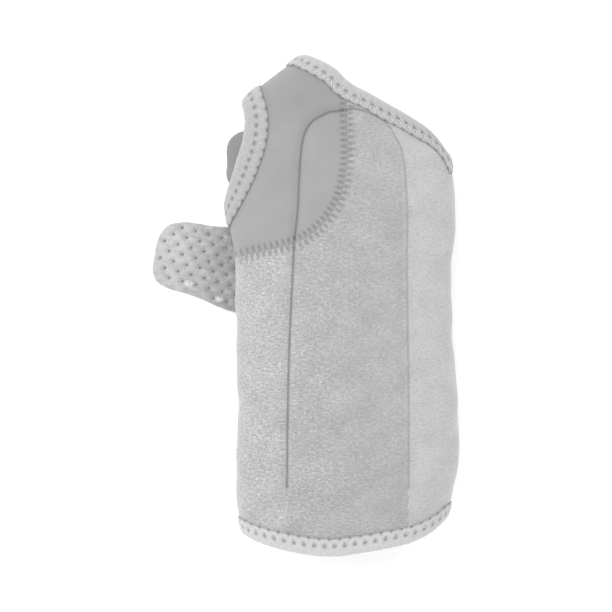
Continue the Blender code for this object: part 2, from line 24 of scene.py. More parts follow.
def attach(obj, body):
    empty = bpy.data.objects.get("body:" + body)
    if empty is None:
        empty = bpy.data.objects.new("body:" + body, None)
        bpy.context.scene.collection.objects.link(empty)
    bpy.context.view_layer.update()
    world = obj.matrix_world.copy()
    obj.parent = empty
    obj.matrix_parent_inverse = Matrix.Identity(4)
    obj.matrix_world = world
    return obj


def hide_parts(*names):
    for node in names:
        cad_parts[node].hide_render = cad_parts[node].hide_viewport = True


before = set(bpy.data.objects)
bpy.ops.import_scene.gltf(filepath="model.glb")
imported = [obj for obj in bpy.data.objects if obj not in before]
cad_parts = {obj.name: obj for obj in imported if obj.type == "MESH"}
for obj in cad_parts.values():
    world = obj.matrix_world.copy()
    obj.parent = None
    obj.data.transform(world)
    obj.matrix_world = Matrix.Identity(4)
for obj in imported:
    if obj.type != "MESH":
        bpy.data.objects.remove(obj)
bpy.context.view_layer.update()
LOG = logging.getLogger("wrist_brace")

CENTRE = (0.000988, -0.000887, 0.0)  # moves the tables' middle over the origin, as the source does
WELD = 0.00002

# along (share of the length), left and right (of the width), crown and fold (of the depth)
STATIONS = (
    (-0.510, -0.268, 0.590, 0.910, 0.430),
    (-0.475, -0.276, 0.596, 0.930, 0.430),
    (-0.435, -0.294, 0.617, 0.960, 0.440),
    (-0.400, -0.312, 0.640, 0.980, 0.450),
    (-0.360, -0.317, 0.664, 0.995, 0.455),
    (-0.310, -0.314, 0.679, 1.000, 0.460),
    (-0.255, -0.308, 0.683, 1.000, 0.460),
    (-0.200, -0.307, 0.678, 0.995, 0.455),
    (-0.100, -0.314, 0.661, 0.960, 0.450),
    (-0.015, -0.316, 0.650, 0.925, 0.440),
    (0.055, -0.317, 0.649, 0.905, 0.430),
    (0.115, -0.327, 0.657, 0.890, 0.420),
    (0.165, -0.346, 0.667, 0.875, 0.405),
    (0.215, -0.360, 0.668, 0.860, 0.395),
    (0.285, -0.362, 0.648, 0.830, 0.385),
    (0.340, -0.344, 0.610, 0.805, 0.375),
    (0.390, -0.304, 0.580, 0.785, 0.370),
    (0.422, -0.264, 0.563, 0.768, 0.360),
    (0.442, -0.214, 0.552, 0.752, 0.358),
    (0.465, -0.150, 0.538, 0.735, 0.355),
    (0.515, 0.004, 0.500, 0.690, 0.350),
)
# across (share of the way from the left fold to the right one) and along
HEM_EDGE = (
    (0.00, -0.461),
    (0.05, -0.471),
    (0.14, -0.482),
    (0.24, -0.490),
    (0.37, -0.497),
    (0.45, -0.498),
    (0.58, -0.492),
    (0.71, -0.484),
    (0.84, -0.474),
    (0.90, -0.465),
    (0.95, -0.453),
    (1.00, -0.430),
)
HAND_EDGE = (
    (0.00, 0.507),
    (0.04, 0.507),
    (0.12, 0.502),
    (0.28, 0.488),
    (0.40, 0.473),
    (0.50, 0.453),
    (0.57, 0.440),
    (0.66, 0.426),
    (0.78, 0.402),
    (0.84, 0.389),
    (0.89, 0.376),
    (0.94, 0.361),
    (0.97, 0.345),
    (1.00, 0.310),
)
# along, and how much of the wrist strap's and of the hand strap's room the far side is lifted
STRAP_LIFT = (
    (-0.520, 0.0, 0.0),
    (-0.200, 0.0, 0.0),
    (-0.120, 1.0, 0.0),
    (0.150, 1.0, 0.0),
    (0.200, 1.0, 1.0),
    (0.370, 0.0, 1.0),
    (0.440, 0.0, 0.0),
    (0.520, 0.0, 0.0),
)
# across (share of the width) and along
PANEL_SEAM = (
    (0.180, 0.600),
    (0.179, 0.383),
    (0.183, 0.310),
    (0.174, 0.260),
    (0.152, 0.220),
    (0.113, 0.185),
    (0.051, 0.153),
    (-0.029, 0.129),
    (-0.139, 0.115),
    (-0.251, 0.104),
    (-0.450, 0.080),
)
POCKET_SEAM = (
    (-0.086, -0.364),
    (-0.081, -0.186),
    (-0.073, -0.054),
    (-0.062, 0.048),
    (-0.053, 0.129),
    (-0.038, 0.191),
    (-0.033, 0.244),
    (-0.024, 0.306),
    (-0.015, 0.333),
    (0.002, 0.353),
    (0.029, 0.369),
    (0.068, 0.379),
    (0.108, 0.387),
    (0.157, 0.389),
    (0.210, 0.393),
    (0.280, 0.385),
    (0.346, 0.369),
    (0.377, 0.353),
    (0.399, 0.333),
    (0.417, 0.319),
    (0.428, 0.298),
    (0.437, 0.270),
    (0.443, 0.220),
    (0.447, 0.179),
    (0.444, 0.087),
    (0.447, -0.058),
    (0.450, -0.196),
    (0.449, -0.364),
)
# reach (share of the strap's reach), upper and lower edge (of its width)
WRIST_STRAP_OUTLINE = (
    (0.012, 0.320, -0.200),
    (0.040, 0.425, -0.272),
    (0.090, 0.480, -0.312),
    (0.150, 0.492, -0.332),
    (0.215, 0.490, -0.370),
    (0.280, 0.512, -0.424),
    (0.370, 0.538, -0.462),
    (0.960, 0.530, -0.470),
)
HAND_STRAP_OUTLINE = (
    (0.008, 0.300, -0.400),
    (0.045, 0.440, -0.490),
    (0.090, 0.500, -0.500),
    (0.960, 0.490, -0.490),
)


def read_table(rows: Sequence[Sequence[float]], column: int, at: np.ndarray) -> np.ndarray:
    """Reads one column of a table smoothly and with no overshoot.

    Args:
        rows: The table, whose first column rises.
        column: Which column is read.
        at: Values of the first column.

    Returns:
        The column's values there.
    """
    table = np.array(rows, float)
    known, values = table[:, 0], table[:, column]
    secants = np.diff(values) / np.diff(known)
    product = secants[:-1] * secants[1:]
    total = np.where(product > 0, secants[:-1] + secants[1:], 1.0)
    inner = np.where(product > 0, 2 * product / total, 0.0)
    slopes = np.concatenate([secants[:1], inner, secants[-1:]])
    at = np.clip(np.asarray(at, float), known[0], known[-1])
    i = np.clip(np.searchsorted(known, at) - 1, 0, len(known) - 2)
    step = known[i + 1] - known[i]
    t = (at - known[i]) / step
    rise = t * t * (3 - 2 * t)
    lean = slopes[i] * (1 - t) - slopes[i + 1] * t
    return values[i] * (1 - rise) + values[i + 1] * rise + step * t * (1 - t) * lean


def bent(value: np.ndarray, fullness: Union[float, np.ndarray]) -> np.ndarray:
    """Pushes a cosine or sine out towards the corner of a fuller section."""
    return np.sign(value) * np.abs(value) ** (2 / fullness)


def unit(vectors: np.ndarray) -> np.ndarray:
    """Scales vectors to a length of one."""
    return vectors / np.linalg.norm(vectors, axis=-1, keepdims=True)


def ease(value: np.ndarray, low: float, high: float) -> np.ndarray:
    """Rises smoothly from 0 at low to 1 at high."""
    share = np.clip((value - low) / (high - low), 0.0, 1.0)
    return share * share * (3 - 2 * share)


def beside(places: np.ndarray, path: np.ndarray) -> tuple[np.ndarray, np.ndarray]:
    """Measures places against a path in plan.

    Args:
        places: Points of two numbers.
        path: The path's points in order.

    Returns:
        How far each place lies to the path's right, and how far along the path it is.
    """
    flat = places.reshape(-1, 2)
    nearest = np.full(len(flat), np.inf)
    signed, run = np.zeros(len(flat)), np.zeros(len(flat))
    before = 0.0
    for start, step in zip(path[:-1], np.diff(path, axis=0)):
        length = math.hypot(*step)
        offset = flat - start
        share = np.clip(offset @ step / length**2, 0.0, 1.0)
        gap = offset - share[:, None] * step
        distance = np.hypot(gap[:, 0], gap[:, 1])
        closer = distance < nearest
        side = np.where(step[1] * offset[:, 0] - step[0] * offset[:, 1] < 0, -1.0, 1.0)
        nearest = np.where(closer, distance, nearest)
        signed = np.where(closer, distance * side, signed)
        run = np.where(closer, before + share * length, run)
        before += length
    return signed.reshape(places.shape[:-1]), run.reshape(places.shape[:-1])


@dataclass(frozen=True)
class SleeveForm:
    """The outer face of the hollow sleeve, from the hem to the hand edge."""

    length: float = 0.2200
    width: float = 0.0990
    depth: float = 0.0480
    wall: float = 0.0032
    near_fullness: float = 2.5
    far_fullness: float = 2.4
    settle: float = 1.20
    bend: float = 0.0040
    tape: float = 0.0007
    seat_gap: float = 0.0004
    thumb_gap: float = 0.0007
    edge_tape_width: float = 0.0056
    thumb_tape_width: float = 0.0092
    thumb_length: float = 0.0425
    thumb_reach: float = 0.0170
    thumb_skew: float = 0.35
    thumb_along: float = 0.308
    wrist_room: float = 0.0036
    hand_room: float = 0.0042

    @property
    def nose(self) -> float:
        """How far a tape's roll reaches past the wall's edge."""
        return self.wall / 2 + self.seat_gap + self.tape

    @cached_property
    def section(self) -> tuple[np.ndarray, np.ndarray, float]:
        """Turns, the section's angles there, and the near side's length of cloth."""
        turns, angles = [], []
        near_cloth = 0.0
        fold = self.depth * 0.45
        halves = (
            (0.0, math.pi, self.near_fullness, self.depth - fold),
            (math.pi, 2 * math.pi, self.far_fullness, fold),
        )
        for start, end, fullness, rise in halves:
            angle = np.linspace(start, end, 720)
            x = self.width / 2 * bent(np.cos(angle), fullness)
            z = rise * bent(np.sin(angle), fullness)
            length = np.concatenate([[0], np.cumsum(np.hypot(np.diff(x), np.diff(z)))])
            turns.append((start / math.pi + length / length[-1]) / 2)
            angles.append(angle)
            near_cloth = near_cloth or float(length[-1])
        return np.concatenate(turns), np.concatenate(angles), near_cloth

    @property
    def girth(self) -> float:
        """The length of cloth in one whole turn, as the near side has it."""
        return 2 * self.section[2]

    def angle(self, turn: np.ndarray) -> np.ndarray:
        """The section's angle at a turn."""
        return np.interp(np.mod(turn, 1.0), self.section[0], self.section[1])

    def edge(self, turn: np.ndarray, table: Sequence[Sequence[float]]) -> np.ndarray:
        """The height along Y of a finished edge, at a turn."""
        angle = self.angle(turn)
        fullness = np.where(angle < math.pi, self.near_fullness, self.far_fullness)
        across = (1 - bent(np.cos(angle), fullness)) / 2
        return self.length * read_table(table, 1, across)

    def underside(self, turn: np.ndarray, y: np.ndarray) -> np.ndarray:
        """How high the far side lies, on the floor, on the tapes and over the straps."""
        along = y / self.length
        wrist = self.wrist_room * read_table(STRAP_LIFT, 1, along)
        lifted = np.maximum(wrist, self.hand_room * read_table(STRAP_LIFT, 2, along))
        for table, way in ((HEM_EDGE, 1.0), (HAND_EDGE, -1.0)):
            inward = way * (y - self.edge(turn, table)) / self.edge_tape_width
            share = np.clip(inward / 2 - 1, 0, 1)
            lifted = np.maximum(lifted, (self.seat_gap + self.tape) * (1 - share))
        return lifted

    def points(self, turn: np.ndarray, y: np.ndarray) -> np.ndarray:
        """Finds points of the form.

        Args:
            turn: Turns round the section.
            y: Heights along Y.

        Returns:
            Their places.
        """
        turn, y = np.broadcast_arrays(np.asarray(turn, float), np.asarray(y, float))
        angle = self.angle(turn)
        along = y / self.length
        left, right = (self.width * read_table(STATIONS, column, along) for column in (1, 2))
        crown, fold = (self.depth * read_table(STATIONS, column, along) for column in (3, 4))
        near = angle < math.pi
        fullness = np.where(near, self.near_fullness, self.far_fullness)
        x = left + (right - left) * (1 - bent(np.cos(angle), fullness)) / 2
        rise = np.where(near, crown - fold, fold * self.settle)
        z = fold + rise * bent(np.sin(angle), fullness)
        floor = self.underside(turn, y)
        blend = np.clip(self.bend - np.abs(z - floor), 0, None) ** 2 / (4 * self.bend)
        return np.stack([x, y, np.where(near, z, np.maximum(z, floor) + blend)], axis=-1)

    def slopes(self, turn: np.ndarray, y: np.ndarray) -> tuple[np.ndarray, np.ndarray]:
        """The form's rates of change with a turn and with Y."""
        step = 0.0006
        by_turn = (self.points(turn + step, y) - self.points(turn - step, y)) / (2 * step)
        by_y = (self.points(turn, y + step) - self.points(turn, y - step)) / (2 * step)
        return by_turn, by_y

    def normals(self, turn: np.ndarray, y: np.ndarray) -> np.ndarray:
        """The form's outward normals."""
        return unit(np.cross(*self.slopes(turn, y)))

    def edge_height(
        self, turn: np.ndarray, table: Sequence[Sequence[float]], inward: float
    ) -> np.ndarray:
        """Finds the line that lies so far inward of a finished edge, measured square to it.

        Args:
            turn: Turns round the section.
            table: The edge.
            inward: The distance.

        Returns:
            Heights along Y.
        """
        step = 0.002
        y = self.edge(turn, table)
        ahead, behind = (self.points(turn + s, self.edge(turn + s, table)) for s in (step, -step))
        by_y = self.slopes(turn, y)[1]
        square = np.linalg.norm(np.cross(by_y, unit(ahead - behind)), axis=-1)
        return y + (1.0 if table is HEM_EDGE else -1.0) * inward / square

    def walk(
        self, turn: np.ndarray, y: np.ndarray, direction: np.ndarray, distance: float
    ) -> tuple[np.ndarray, np.ndarray]:
        """Goes along the form in the direction of a vector.

        Args:
            turn: Turns of the points that are left.
            y: Their heights along Y.
            direction: Where to, as vectors.
            distance: How far.

        Returns:
            The turns and heights that are reached.
        """
        steps = 4
        for _ in range(steps):
            by_turn, by_y = self.slopes(turn, y)
            normal = unit(np.cross(by_turn, by_y))
            across = np.sum(direction * normal, axis=-1, keepdims=True)
            flat = unit(direction - normal * across)
            tt, ty, yy = (np.sum(a * b, axis=-1) for a, b in (
                (by_turn, by_turn), (by_turn, by_y), (by_y, by_y)
            ))
            t, s = np.sum(by_turn * flat, axis=-1), np.sum(by_y * flat, axis=-1)
            scale = distance / steps / (tt * yy - ty * ty)
            turn, y = turn + scale * (t * yy - s * ty), y + scale * (s * tt - t * ty)
        return turn, y

    def thumb_rim(self, count: int, inward: float) -> tuple[np.ndarray, np.ndarray]:
        """Finds points that lie so far inward of the thumb hole's finished edge.

        Args:
            count: How many points.
            inward: The distance into the cloth.

        Returns:
            Their turns and heights along Y.
        """
        psi = np.arange(count) / count * 2 * math.pi
        y = self.length * self.thumb_along + self.thumb_length / 2 * np.cos(psi)
        reach = self.thumb_reach * np.sin(psi) * (1 + self.thumb_skew * np.cos(psi))
        turn = reach / self.girth
        edge = self.points(turn, y)
        tangent = np.roll(edge, -1, axis=0) - np.roll(edge, 1, axis=0)
        direction = np.cross(self.normals(turn, y), tangent)
        middle = self.points(0.0, self.length * self.thumb_along)
        outward = np.sum(direction * (edge - middle), axis=-1).mean()
        return self.walk(turn, y, direction * (-1.0 if outward < 0 else 1.0), inward)

    def turn_at(self, x: np.ndarray, y: np.ndarray) -> np.ndarray:
        """The turn of the near side's point over a place on the floor."""
        low, high = np.zeros_like(x), np.full_like(x, 0.5)
        for _ in range(40):
            middle = (low + high) / 2
            right_of = self.points(middle, y)[..., 0] > x
            high, low = np.where(right_of, middle, high), np.where(right_of, low, middle)
        return (low + high) / 2

    def path(self, marks: Sequence[Sequence[float]], count: int) -> np.ndarray:
        """Evenly spaced places in plan along a smooth line through marks."""
        rows = np.array(marks, float)
        length = np.concatenate([[0], np.cumsum(np.hypot(*np.diff(rows, axis=0).T))])
        table = np.column_stack([length, rows])
        steps = np.linspace(0, length[-1], count)
        columns = (self.width * read_table(table, 1, steps), self.length * read_table(table, 2, steps))
        return np.column_stack(columns)


Number = Union[float, "Wire"]


class Wire:
    """A shader's socket, which can stand in sums."""

    def __init__(self, graph: Graph, socket: bpy.types.NodeSocket) -> None:
        """Keeps the socket and the graph that it is in."""
        self.graph = graph
        self.socket = socket

    def _math(self, operation: str, *values: Number) -> Wire:
        """Adds one Math node."""
        return self.graph.node("ShaderNodeMath", {"operation": operation}, dict(enumerate(values)))

    def __add__(self, other: Number) -> Wire:
        """The sum."""
        return self._math("ADD", self, other)

    def __radd__(self, other: Number) -> Wire:
        """The sum, with this on the right."""
        return self._math("ADD", other, self)

    def __sub__(self, other: Number) -> Wire:
        """The difference."""
        return self._math("SUBTRACT", self, other)

    def __rsub__(self, other: Number) -> Wire:
        """The difference, with this on the right."""
        return self._math("SUBTRACT", other, self)

    def __mul__(self, other: Number) -> Wire:
        """The product."""
        return self._math("MULTIPLY", self, other)

    def __rmul__(self, other: Number) -> Wire:
        """The product, with this on the right."""
        return self._math("MULTIPLY", other, self)

    def __truediv__(self, other: Number) -> Wire:
        """The quotient."""
        return self._math("DIVIDE", self, other)

    def __abs__(self) -> Wire:
        """The size without its sign."""
        return self._math("ABSOLUTE", self)

    def fraction(self) -> Wire:
        """What is past the last whole number."""
        return self._math("FRACT", self)

    def sine(self) -> Wire:
        """The sine of this angle."""
        return self._math("SINE", self)

    def root(self) -> Wire:
        """The square root."""
        return self._math("SQRT", self)

    def least(self, other: Number) -> Wire:
        """The smaller of two."""
        return self._math("MINIMUM", self, other)

    def most(self, other: Number) -> Wire:
        """The larger of two."""
        return self._math("MAXIMUM", self, other)

    def rise(self, low: float, high: float) -> Wire:
        """Goes smoothly from 0 at low to 1 at high."""
        values = {"Value": self, "From Min": low, "From Max": high}
        return self.graph.node("ShaderNodeMapRange", {"interpolation_type": "SMOOTHSTEP"}, values)

    def line(self, half_width: float) -> Wire:
        """Is 1 where this is nought, and falls to 0 at half a width."""
        return 1.0 - abs(self).rise(0.0, half_width)


class Graph:
    """A material's nodes, with its Principled shader."""

    def __init__(self, name: str, roughness: float, sheen: float, specular: float = 0.25) -> None:
        """Makes the material and sets what is the same all over it.

        Args:
            name: The material's name.
            roughness: The shader's roughness.
            sheen: The shader's sheen weight.
            specular: The shader's specular level.
        """
        self.material = bpy.data.materials.new(name)
        self.material.use_nodes = True
        self.tree = self.material.node_tree
        self.shader = self.tree.nodes["Principled BSDF"]
        constants = {
            "Roughness": roughness,
            "Metallic": 0.0,
            "Sheen Weight": sheen,
            "Sheen Roughness": 0.5,
            "Specular IOR Level": specular,
        }
        for key, value in constants.items():
            self.shader.inputs[key].default_value = value

    def node(
        self,
        kind: str,
        settings: dict[str, object] | None = None,
        values: dict[str | int, object] | None = None,
        output: int | str = 0,
    ) -> Wire:
        """Adds a node.

        Args:
            kind: The node's type.
            settings: Its own settings, which are set first.
            values: Numbers or wires for its sockets.
            output: Which of its outputs is wanted.

        Returns:
            The wire from that output.
        """
        made = self.tree.nodes.new(kind)
        for key, value in (settings or {}).items():
            setattr(made, key, value)
        for key, value in (values or {}).items():
            self.feed(made.inputs[key], value)
        return Wire(self, made.outputs[output])

    def feed(self, socket: bpy.types.NodeSocket, value: object) -> None:
        """Links a wire to a socket, or sets its number."""
        if isinstance(value, Wire):
            self.tree.links.new(value.socket, socket)
        else:
            socket.default_value = value

    def field(self, name: str) -> Wire:
        """A number that the mesh's points carry."""
        return self.node("ShaderNodeAttribute", {"attribute_name": name}, None, "Fac")

    def cloth(self) -> Wire:
        """The place on the cloth, in metres."""
        return self.node("ShaderNodeUVMap", {"uv_map": "cloth"})

    def place(self) -> Wire:
        """The place in space, in metres."""
        return self.node("ShaderNodeTexCoord", None, None, "Object")

    def split(self, vector: Wire) -> tuple[Wire, Wire]:
        """The first two numbers of a vector."""
        made = self.node("ShaderNodeSeparateXYZ", None, {0: vector})
        return made, Wire(self, made.socket.node.outputs[1])

    def noise(
        self, at: Wire, size: float, stretch: Sequence[float] = (1, 1, 1), detail: float = 2.0
    ) -> Wire:
        """Adds a noise.

        Args:
            at: The place.
            size: How large its spots are, in metres.
            stretch: How much longer they are along each axis.
            detail: How many finer layers it has.

        Returns:
            A number about a half.
        """
        scale = tuple(1 / s for s in stretch)
        moved = self.node("ShaderNodeMapping", None, {"Vector": at, "Scale": scale})
        values = {"Vector": moved, "Scale": 1 / size, "Detail": detail, "Roughness": 0.6}
        return self.node("ShaderNodeTexNoise", {"noise_dimensions": "3D"}, values)

    def mix(self, share: Number, first: object, second: object) -> Wire:
        """A colour between two."""
        values = {0: share, 6: first, 7: second}
        return self.node("ShaderNodeMix", {"data_type": "RGBA"}, values, 2)

    def bump(self, height: Wire, distance: float, strength: float = 1.0, under: Wire | None = None) -> Wire:
        """Adds a bump.

        Args:
            height: The height, from 0 to 1.
            distance: How many metres a height of 1 is.
            strength: How much of it shows.
            under: A coarser bump below this one.

        Returns:
            The normal.
        """
        values: dict[str | int, object] = {"Height": height, "Distance": distance, "Strength": strength}
        if under is not None:
            values["Normal"] = under
        return self.node("ShaderNodeBump", None, values)

    def finish(self, colour: Wire, normal: Wire) -> bpy.types.Material:
        """Links the colour and the normal to the shader, and gives the material."""
        self.feed(self.shader.inputs["Base Color"], colour)
        self.feed(self.shader.inputs["Normal"], normal)
        return self.material


def grey(tone: float) -> tuple[float, float, float, float]:
    """A neutral colour."""
    return (tone, tone, tone, 1.0)


def needle_marks(
    graph: Graph, across: Wire, run: Wire, pitch: float, row: float, phase: float, size: tuple[float, float]
) -> Wire:
    """Masks a row of marks where a needle went through, which are painted in shade.

    Args:
        graph: The material's graph.
        across: The distance from the stitch line.
        run: The distance along it.
        pitch: How far apart the marks are.
        row: How far from the line the row is.
        phase: Where in a pitch a mark is.
        size: Half a mark's length across and half its width along.

    Returns:
        A mask that is 1 in a mark.
    """
    beside_mark = ((run / pitch + (0.5 - phase)).fraction() - 0.5) * pitch
    return (across - row).line(size[0]) * beside_mark.line(size[1])


@dataclass(frozen=True)
class LoopPile:
    """The brushed loop cloth of the sleeve, with painted glints, painted light and shade across its top,
    and painted shade in its pressed lines and needle marks.
    """

    name: str = "loop_pile"
    dark: float = 0.265
    light: float = 0.475
    # tone of the painted glints, where the pile's loops catch the light
    glint: float = 0.68
    # tone of the painted shade in the pocket's groove and the seam's needle marks
    pressed: float = 0.17

    def make(self, stitches: SeamStitches) -> bpy.types.Material:
        """Makes the material.

        Args:
            stitches: The seam whose needle marks show.

        Returns:
            The material.
        """
        graph = Graph(self.name, 0.95, 0.35)
        cloth = graph.cloth()
        round_sleeve = graph.split(cloth)[0]
        nap = 1.25 - round_sleeve.rise(0.015, 0.09) * 0.65
        loops = graph.noise(cloth, 0.0010, (1.2, 1, 1), 2.0)
        streaks = graph.noise(cloth, 0.0009, (3.0, 0.55, 1), 1.0)
        patches = graph.noise(cloth, 0.011, (1.4, 1, 1), 2.0)
        # Painted glints: bright specks where the pile's loops catch the light.
        glints = graph.noise(cloth, 0.0011, (1.4, 0.8, 1), 1.0).rise(0.66, 0.76) * patches.rise(0.35, 0.6)
        inside = graph.field("pocket").rise(-0.001, 0.003)
        # Painted light and shade across the top: the pocket painted a little darker, the strip to the right
        # of it painted lighter, as the light falls.
        right = round_sleeve.rise(0.080, 0.092) * (1.0 - inside)
        tone = 0.47 + nap * ((loops - 0.5) * 1.2 + (streaks - 0.5) * 0.9) + (patches - 0.5) * 0.4
        tone = tone - inside * 0.10 + right * 0.16
        colour = graph.mix(tone.rise(0.0, 1.0), grey(self.dark), grey(self.light))
        colour = graph.mix(glints * nap * 0.7, colour, grey(self.glint))
        # Painted shade in the pocket's groove, in the dip beside it and in the seam's needle marks.
        colour, dent = painted_groove_shade(graph, colour, self.pressed, stitches, 0.80)
        coarse = graph.bump(1.0 - dent, 0.0005, 1.0)
        pile = loops * 0.6 + streaks * 0.4
        return graph.finish(colour, graph.bump(pile, 0.0006, 0.5, coarse))


@dataclass(frozen=True)
class SmoothKnit:
    """The fine flat knit of the thumb panel, the hand strap and the lining."""

    name: str = "smooth_knit"
    dark: float = 0.256
    light: float = 0.300
    # tone of the painted shade in the pocket's groove and the seam's needle marks
    pressed: float = 0.12
    course: float = 0.0008
    wale: float = 0.0007

    def make(self, stitches: SeamStitches | None) -> bpy.types.Material:
        """Makes the material.

        Args:
            stitches: The seam whose needle marks show, or none.

        Returns:
            The material.
        """
        graph = Graph(self.name, 0.85, 0.2)
        cloth = graph.cloth()
        u, v = graph.split(cloth)
        ribs = (u * (2 * math.pi / self.wale)).sine() * (v * (2 * math.pi / self.course)).sine()
        grain = graph.noise(cloth, 0.0008, (1, 1.6, 1), 2.0)
        patches = graph.noise(cloth, 0.016, (1, 1, 1), 2.0)
        # Painted shade: darker towards the hand edge, where the cloth turns away.
        tone = 0.6 + ribs * 0.15 + (grain - 0.5) * 0.8 + (patches - 0.5) * 0.8 - v.rise(0.066, 0.104) * 0.7
        colour = graph.mix(tone.rise(0.0, 1.0), grey(self.dark), grey(self.light))
        height = 0.5 + ribs * 0.25 + (grain - 0.5) * 0.6
        if stitches is None:
            return graph.finish(colour, graph.bump(height, 0.00025, 0.5))
        colour, dent = painted_groove_shade(graph, colour, self.pressed, stitches, 0.62)
        coarse = graph.bump(1.0 - dent, 0.0004, 1.0)
        return graph.finish(colour, graph.bump(height, 0.00025, 0.5, coarse))


def painted_groove_shade(
    graph: Graph, colour: Wire, pressed: float, stitches: SeamStitches, depth: float
) -> tuple[Wire, Wire]:
    """Paints shade into the pocket's pressed seam, the soft dip outside it and the panel seam's needle
    marks.

    Args:
        graph: The material's graph.
        colour: The cloth's colour.
        pressed: How dark the painted shade is.
        stitches: The panel seam's stitches.
        depth: How much painted shade the pressed seam's middle gets.

    Returns:
        The colour, and how deep the cloth is pressed.
    """
    pocket, pocket_on = graph.field("pocket"), graph.field("pocket_on")
    seam, run = graph.field("seam"), graph.field("seam_run")
    groove = pocket.line(0.00085) * pocket_on
    soft = (pocket + 0.0010).line(0.0036) * pocket_on
    marks = needle_marks(graph, seam, run, stitches.pitch, stitches.row, 0.0, stitches.mark)
    other = needle_marks(graph, seam, run, stitches.pitch, -stitches.row, 0.5, stitches.mark)
    marks = marks.most(other)
    # Painted shade: the groove, the soft band outside it and the needle marks.
    darker = (groove * depth + soft * 0.13 + marks * 0.62).least(1.0)
    dent = (groove * 0.7 + soft * 0.2 + marks * 0.5).least(1.0)
    return graph.mix(darker, colour, grey(pressed)), dent


@dataclass(frozen=True)
class BindingTape:
    """The ribbed elastic tape on the edges, pulled in at each needle hole, with painted shade in the holes
    and along its inner edge and painted light on its roll.
    """

    name: str = "binding_tape"
    dark: float = 0.40
    light: float = 0.54
    # tone of the painted shade in the needle holes and of the painted contact shadow at the tape's inner
    # edge
    hole_and_edge_shade: float = 0.13
    rib: float = 0.00085

    def make(self, binding: Binding) -> bpy.types.Material:
        """Makes the material.

        Args:
            binding: The binding whose stitches it shows.

        Returns:
            The material.
        """
        graph = Graph(f"{self.name}_{binding.name}", 0.85, 0.25)
        cloth = graph.cloth()
        run, across = graph.split(cloth)
        rib = (run * (2 * math.pi / self.rib)).sine()
        grain = graph.noise(cloth, 0.0009, (1, 2.2, 1), 2.0)
        # Painted light: the tape is lighter on its roll.
        roll = 1.0 - across.rise(-0.003, 0.001)
        tone = 0.42 + rib * 0.09 + (grain - 0.5) * 1.2 + roll * 0.25
        # Each binding's tone makes a lighter or darker copy of the tape: painted light and shade.
        shades = (grey(self.dark * binding.tone), grey(self.light * binding.tone))
        colour = graph.mix(tone.rise(0.0, 1.0), *shades)
        low = needle_marks(graph, across, run, binding.pitch, binding.low_row, 0.0, (0.0017, 0.0015))
        high = needle_marks(graph, across, run, binding.pitch, binding.high_row, 0.5, (0.0012, 0.0011))
        marks = low.most(high * 0.8)
        # Painted shade: the needle holes, and a painted contact shadow along the tape's inner edge.
        edge = (across - binding.width).line(0.0009)
        colour = graph.mix((marks * 0.80 + edge * 0.35).least(0.85), colour, grey(self.hole_and_edge_shade))
        height = 0.5 + rib * 0.22 + (grain - 0.5) * 0.5
        coarse = graph.bump(1.0 - marks, 0.0005, 1.0)
        return graph.finish(colour, graph.bump(height, 0.0003, 0.55, coarse))


@dataclass(frozen=True)
class PiercedFoam:
    """The foam of the wrist strap, sunk a little round each hole, with painted shade round the holes, in
    its creases and towards the sleeve, and two worn places with painted highlights.
    """

    name: str = "pierced_foam"
    dark: float = 0.30
    light: float = 0.47
    # tone of the painted shade round each hole
    hole_rim_shade: float = 0.24
    # tone of two worn places, lighter with painted highlights
    wear_and_highlight: float = 0.62
    wear_and_highlight_size: tuple[float, float] = (0.0032, 0.0018)

    def make(self, strap: WristStrap) -> bpy.types.Material:
        """Makes the material.

        Args:
            strap: The strap whose holes it shows.

        Returns:
            The material.
        """
        graph = Graph(self.name, 0.9, 0.25)
        cloth = graph.cloth()
        u, v = graph.split(cloth)
        pitch, step = strap.hole_pitch, 2 * strap.hole_row_step
        rings = []
        for shift in (0.5, 0.0):
            x = ((u / pitch + shift).fraction() - 0.5) * pitch
            y = ((v / step + shift).fraction() - 0.5) * step
            rings.append((x * x + y * y).root())
        nearest = rings[0].least(rings[1])
        ring = 1.0 - nearest.rise(strap.hole_radius, strap.hole_radius * 2.0)
        pillow = nearest.rise(strap.hole_radius, strap.hole_pitch * 0.42)
        grain = graph.noise(cloth, 0.0009, (1.5, 1, 1), 3.0)
        patches = graph.noise(cloth, 0.012, (1, 1, 1), 2.0)
        creases = graph.noise(cloth, 0.0042, (2.2, 0.7, 1), 1.0)
        # Painted light and shade: the creases' noise lightens and darkens the colour, and the strap is
        # darker towards the sleeve, under its overhang.
        tone = 0.74 + (grain - 0.5) * 1.2 + (patches - 0.5) * 0.6 + (creases - 0.5) * 1.1
        tone = tone - u.rise(-0.016, 0.016) * 0.55
        colour = graph.mix(tone.rise(0.0, 1.0), grey(self.dark), grey(self.light))
        # Painted shade round each hole.
        colour = graph.mix(ring * 0.20, colour, grey(self.hole_rim_shade))
        x, y = graph.split(graph.place())
        # Two worn places, lightened with painted highlights.
        for place in strap.wear_and_highlight_places:
            across, along = (x - place[0]) / self.wear_and_highlight_size[0], (y - place[1]) / self.wear_and_highlight_size[1]
            spot = 1.0 - (across * across + along * along).root().rise(0.35, 1.0)
            colour = graph.mix(spot * grain.rise(0.30, 0.55) * 0.8, colour, grey(self.wear_and_highlight))
        coarse = graph.bump(pillow * 0.6 + creases * 0.4, 0.0006, 1.0)
        return graph.finish(colour, graph.bump(grain, 0.0004, 0.45, coarse))


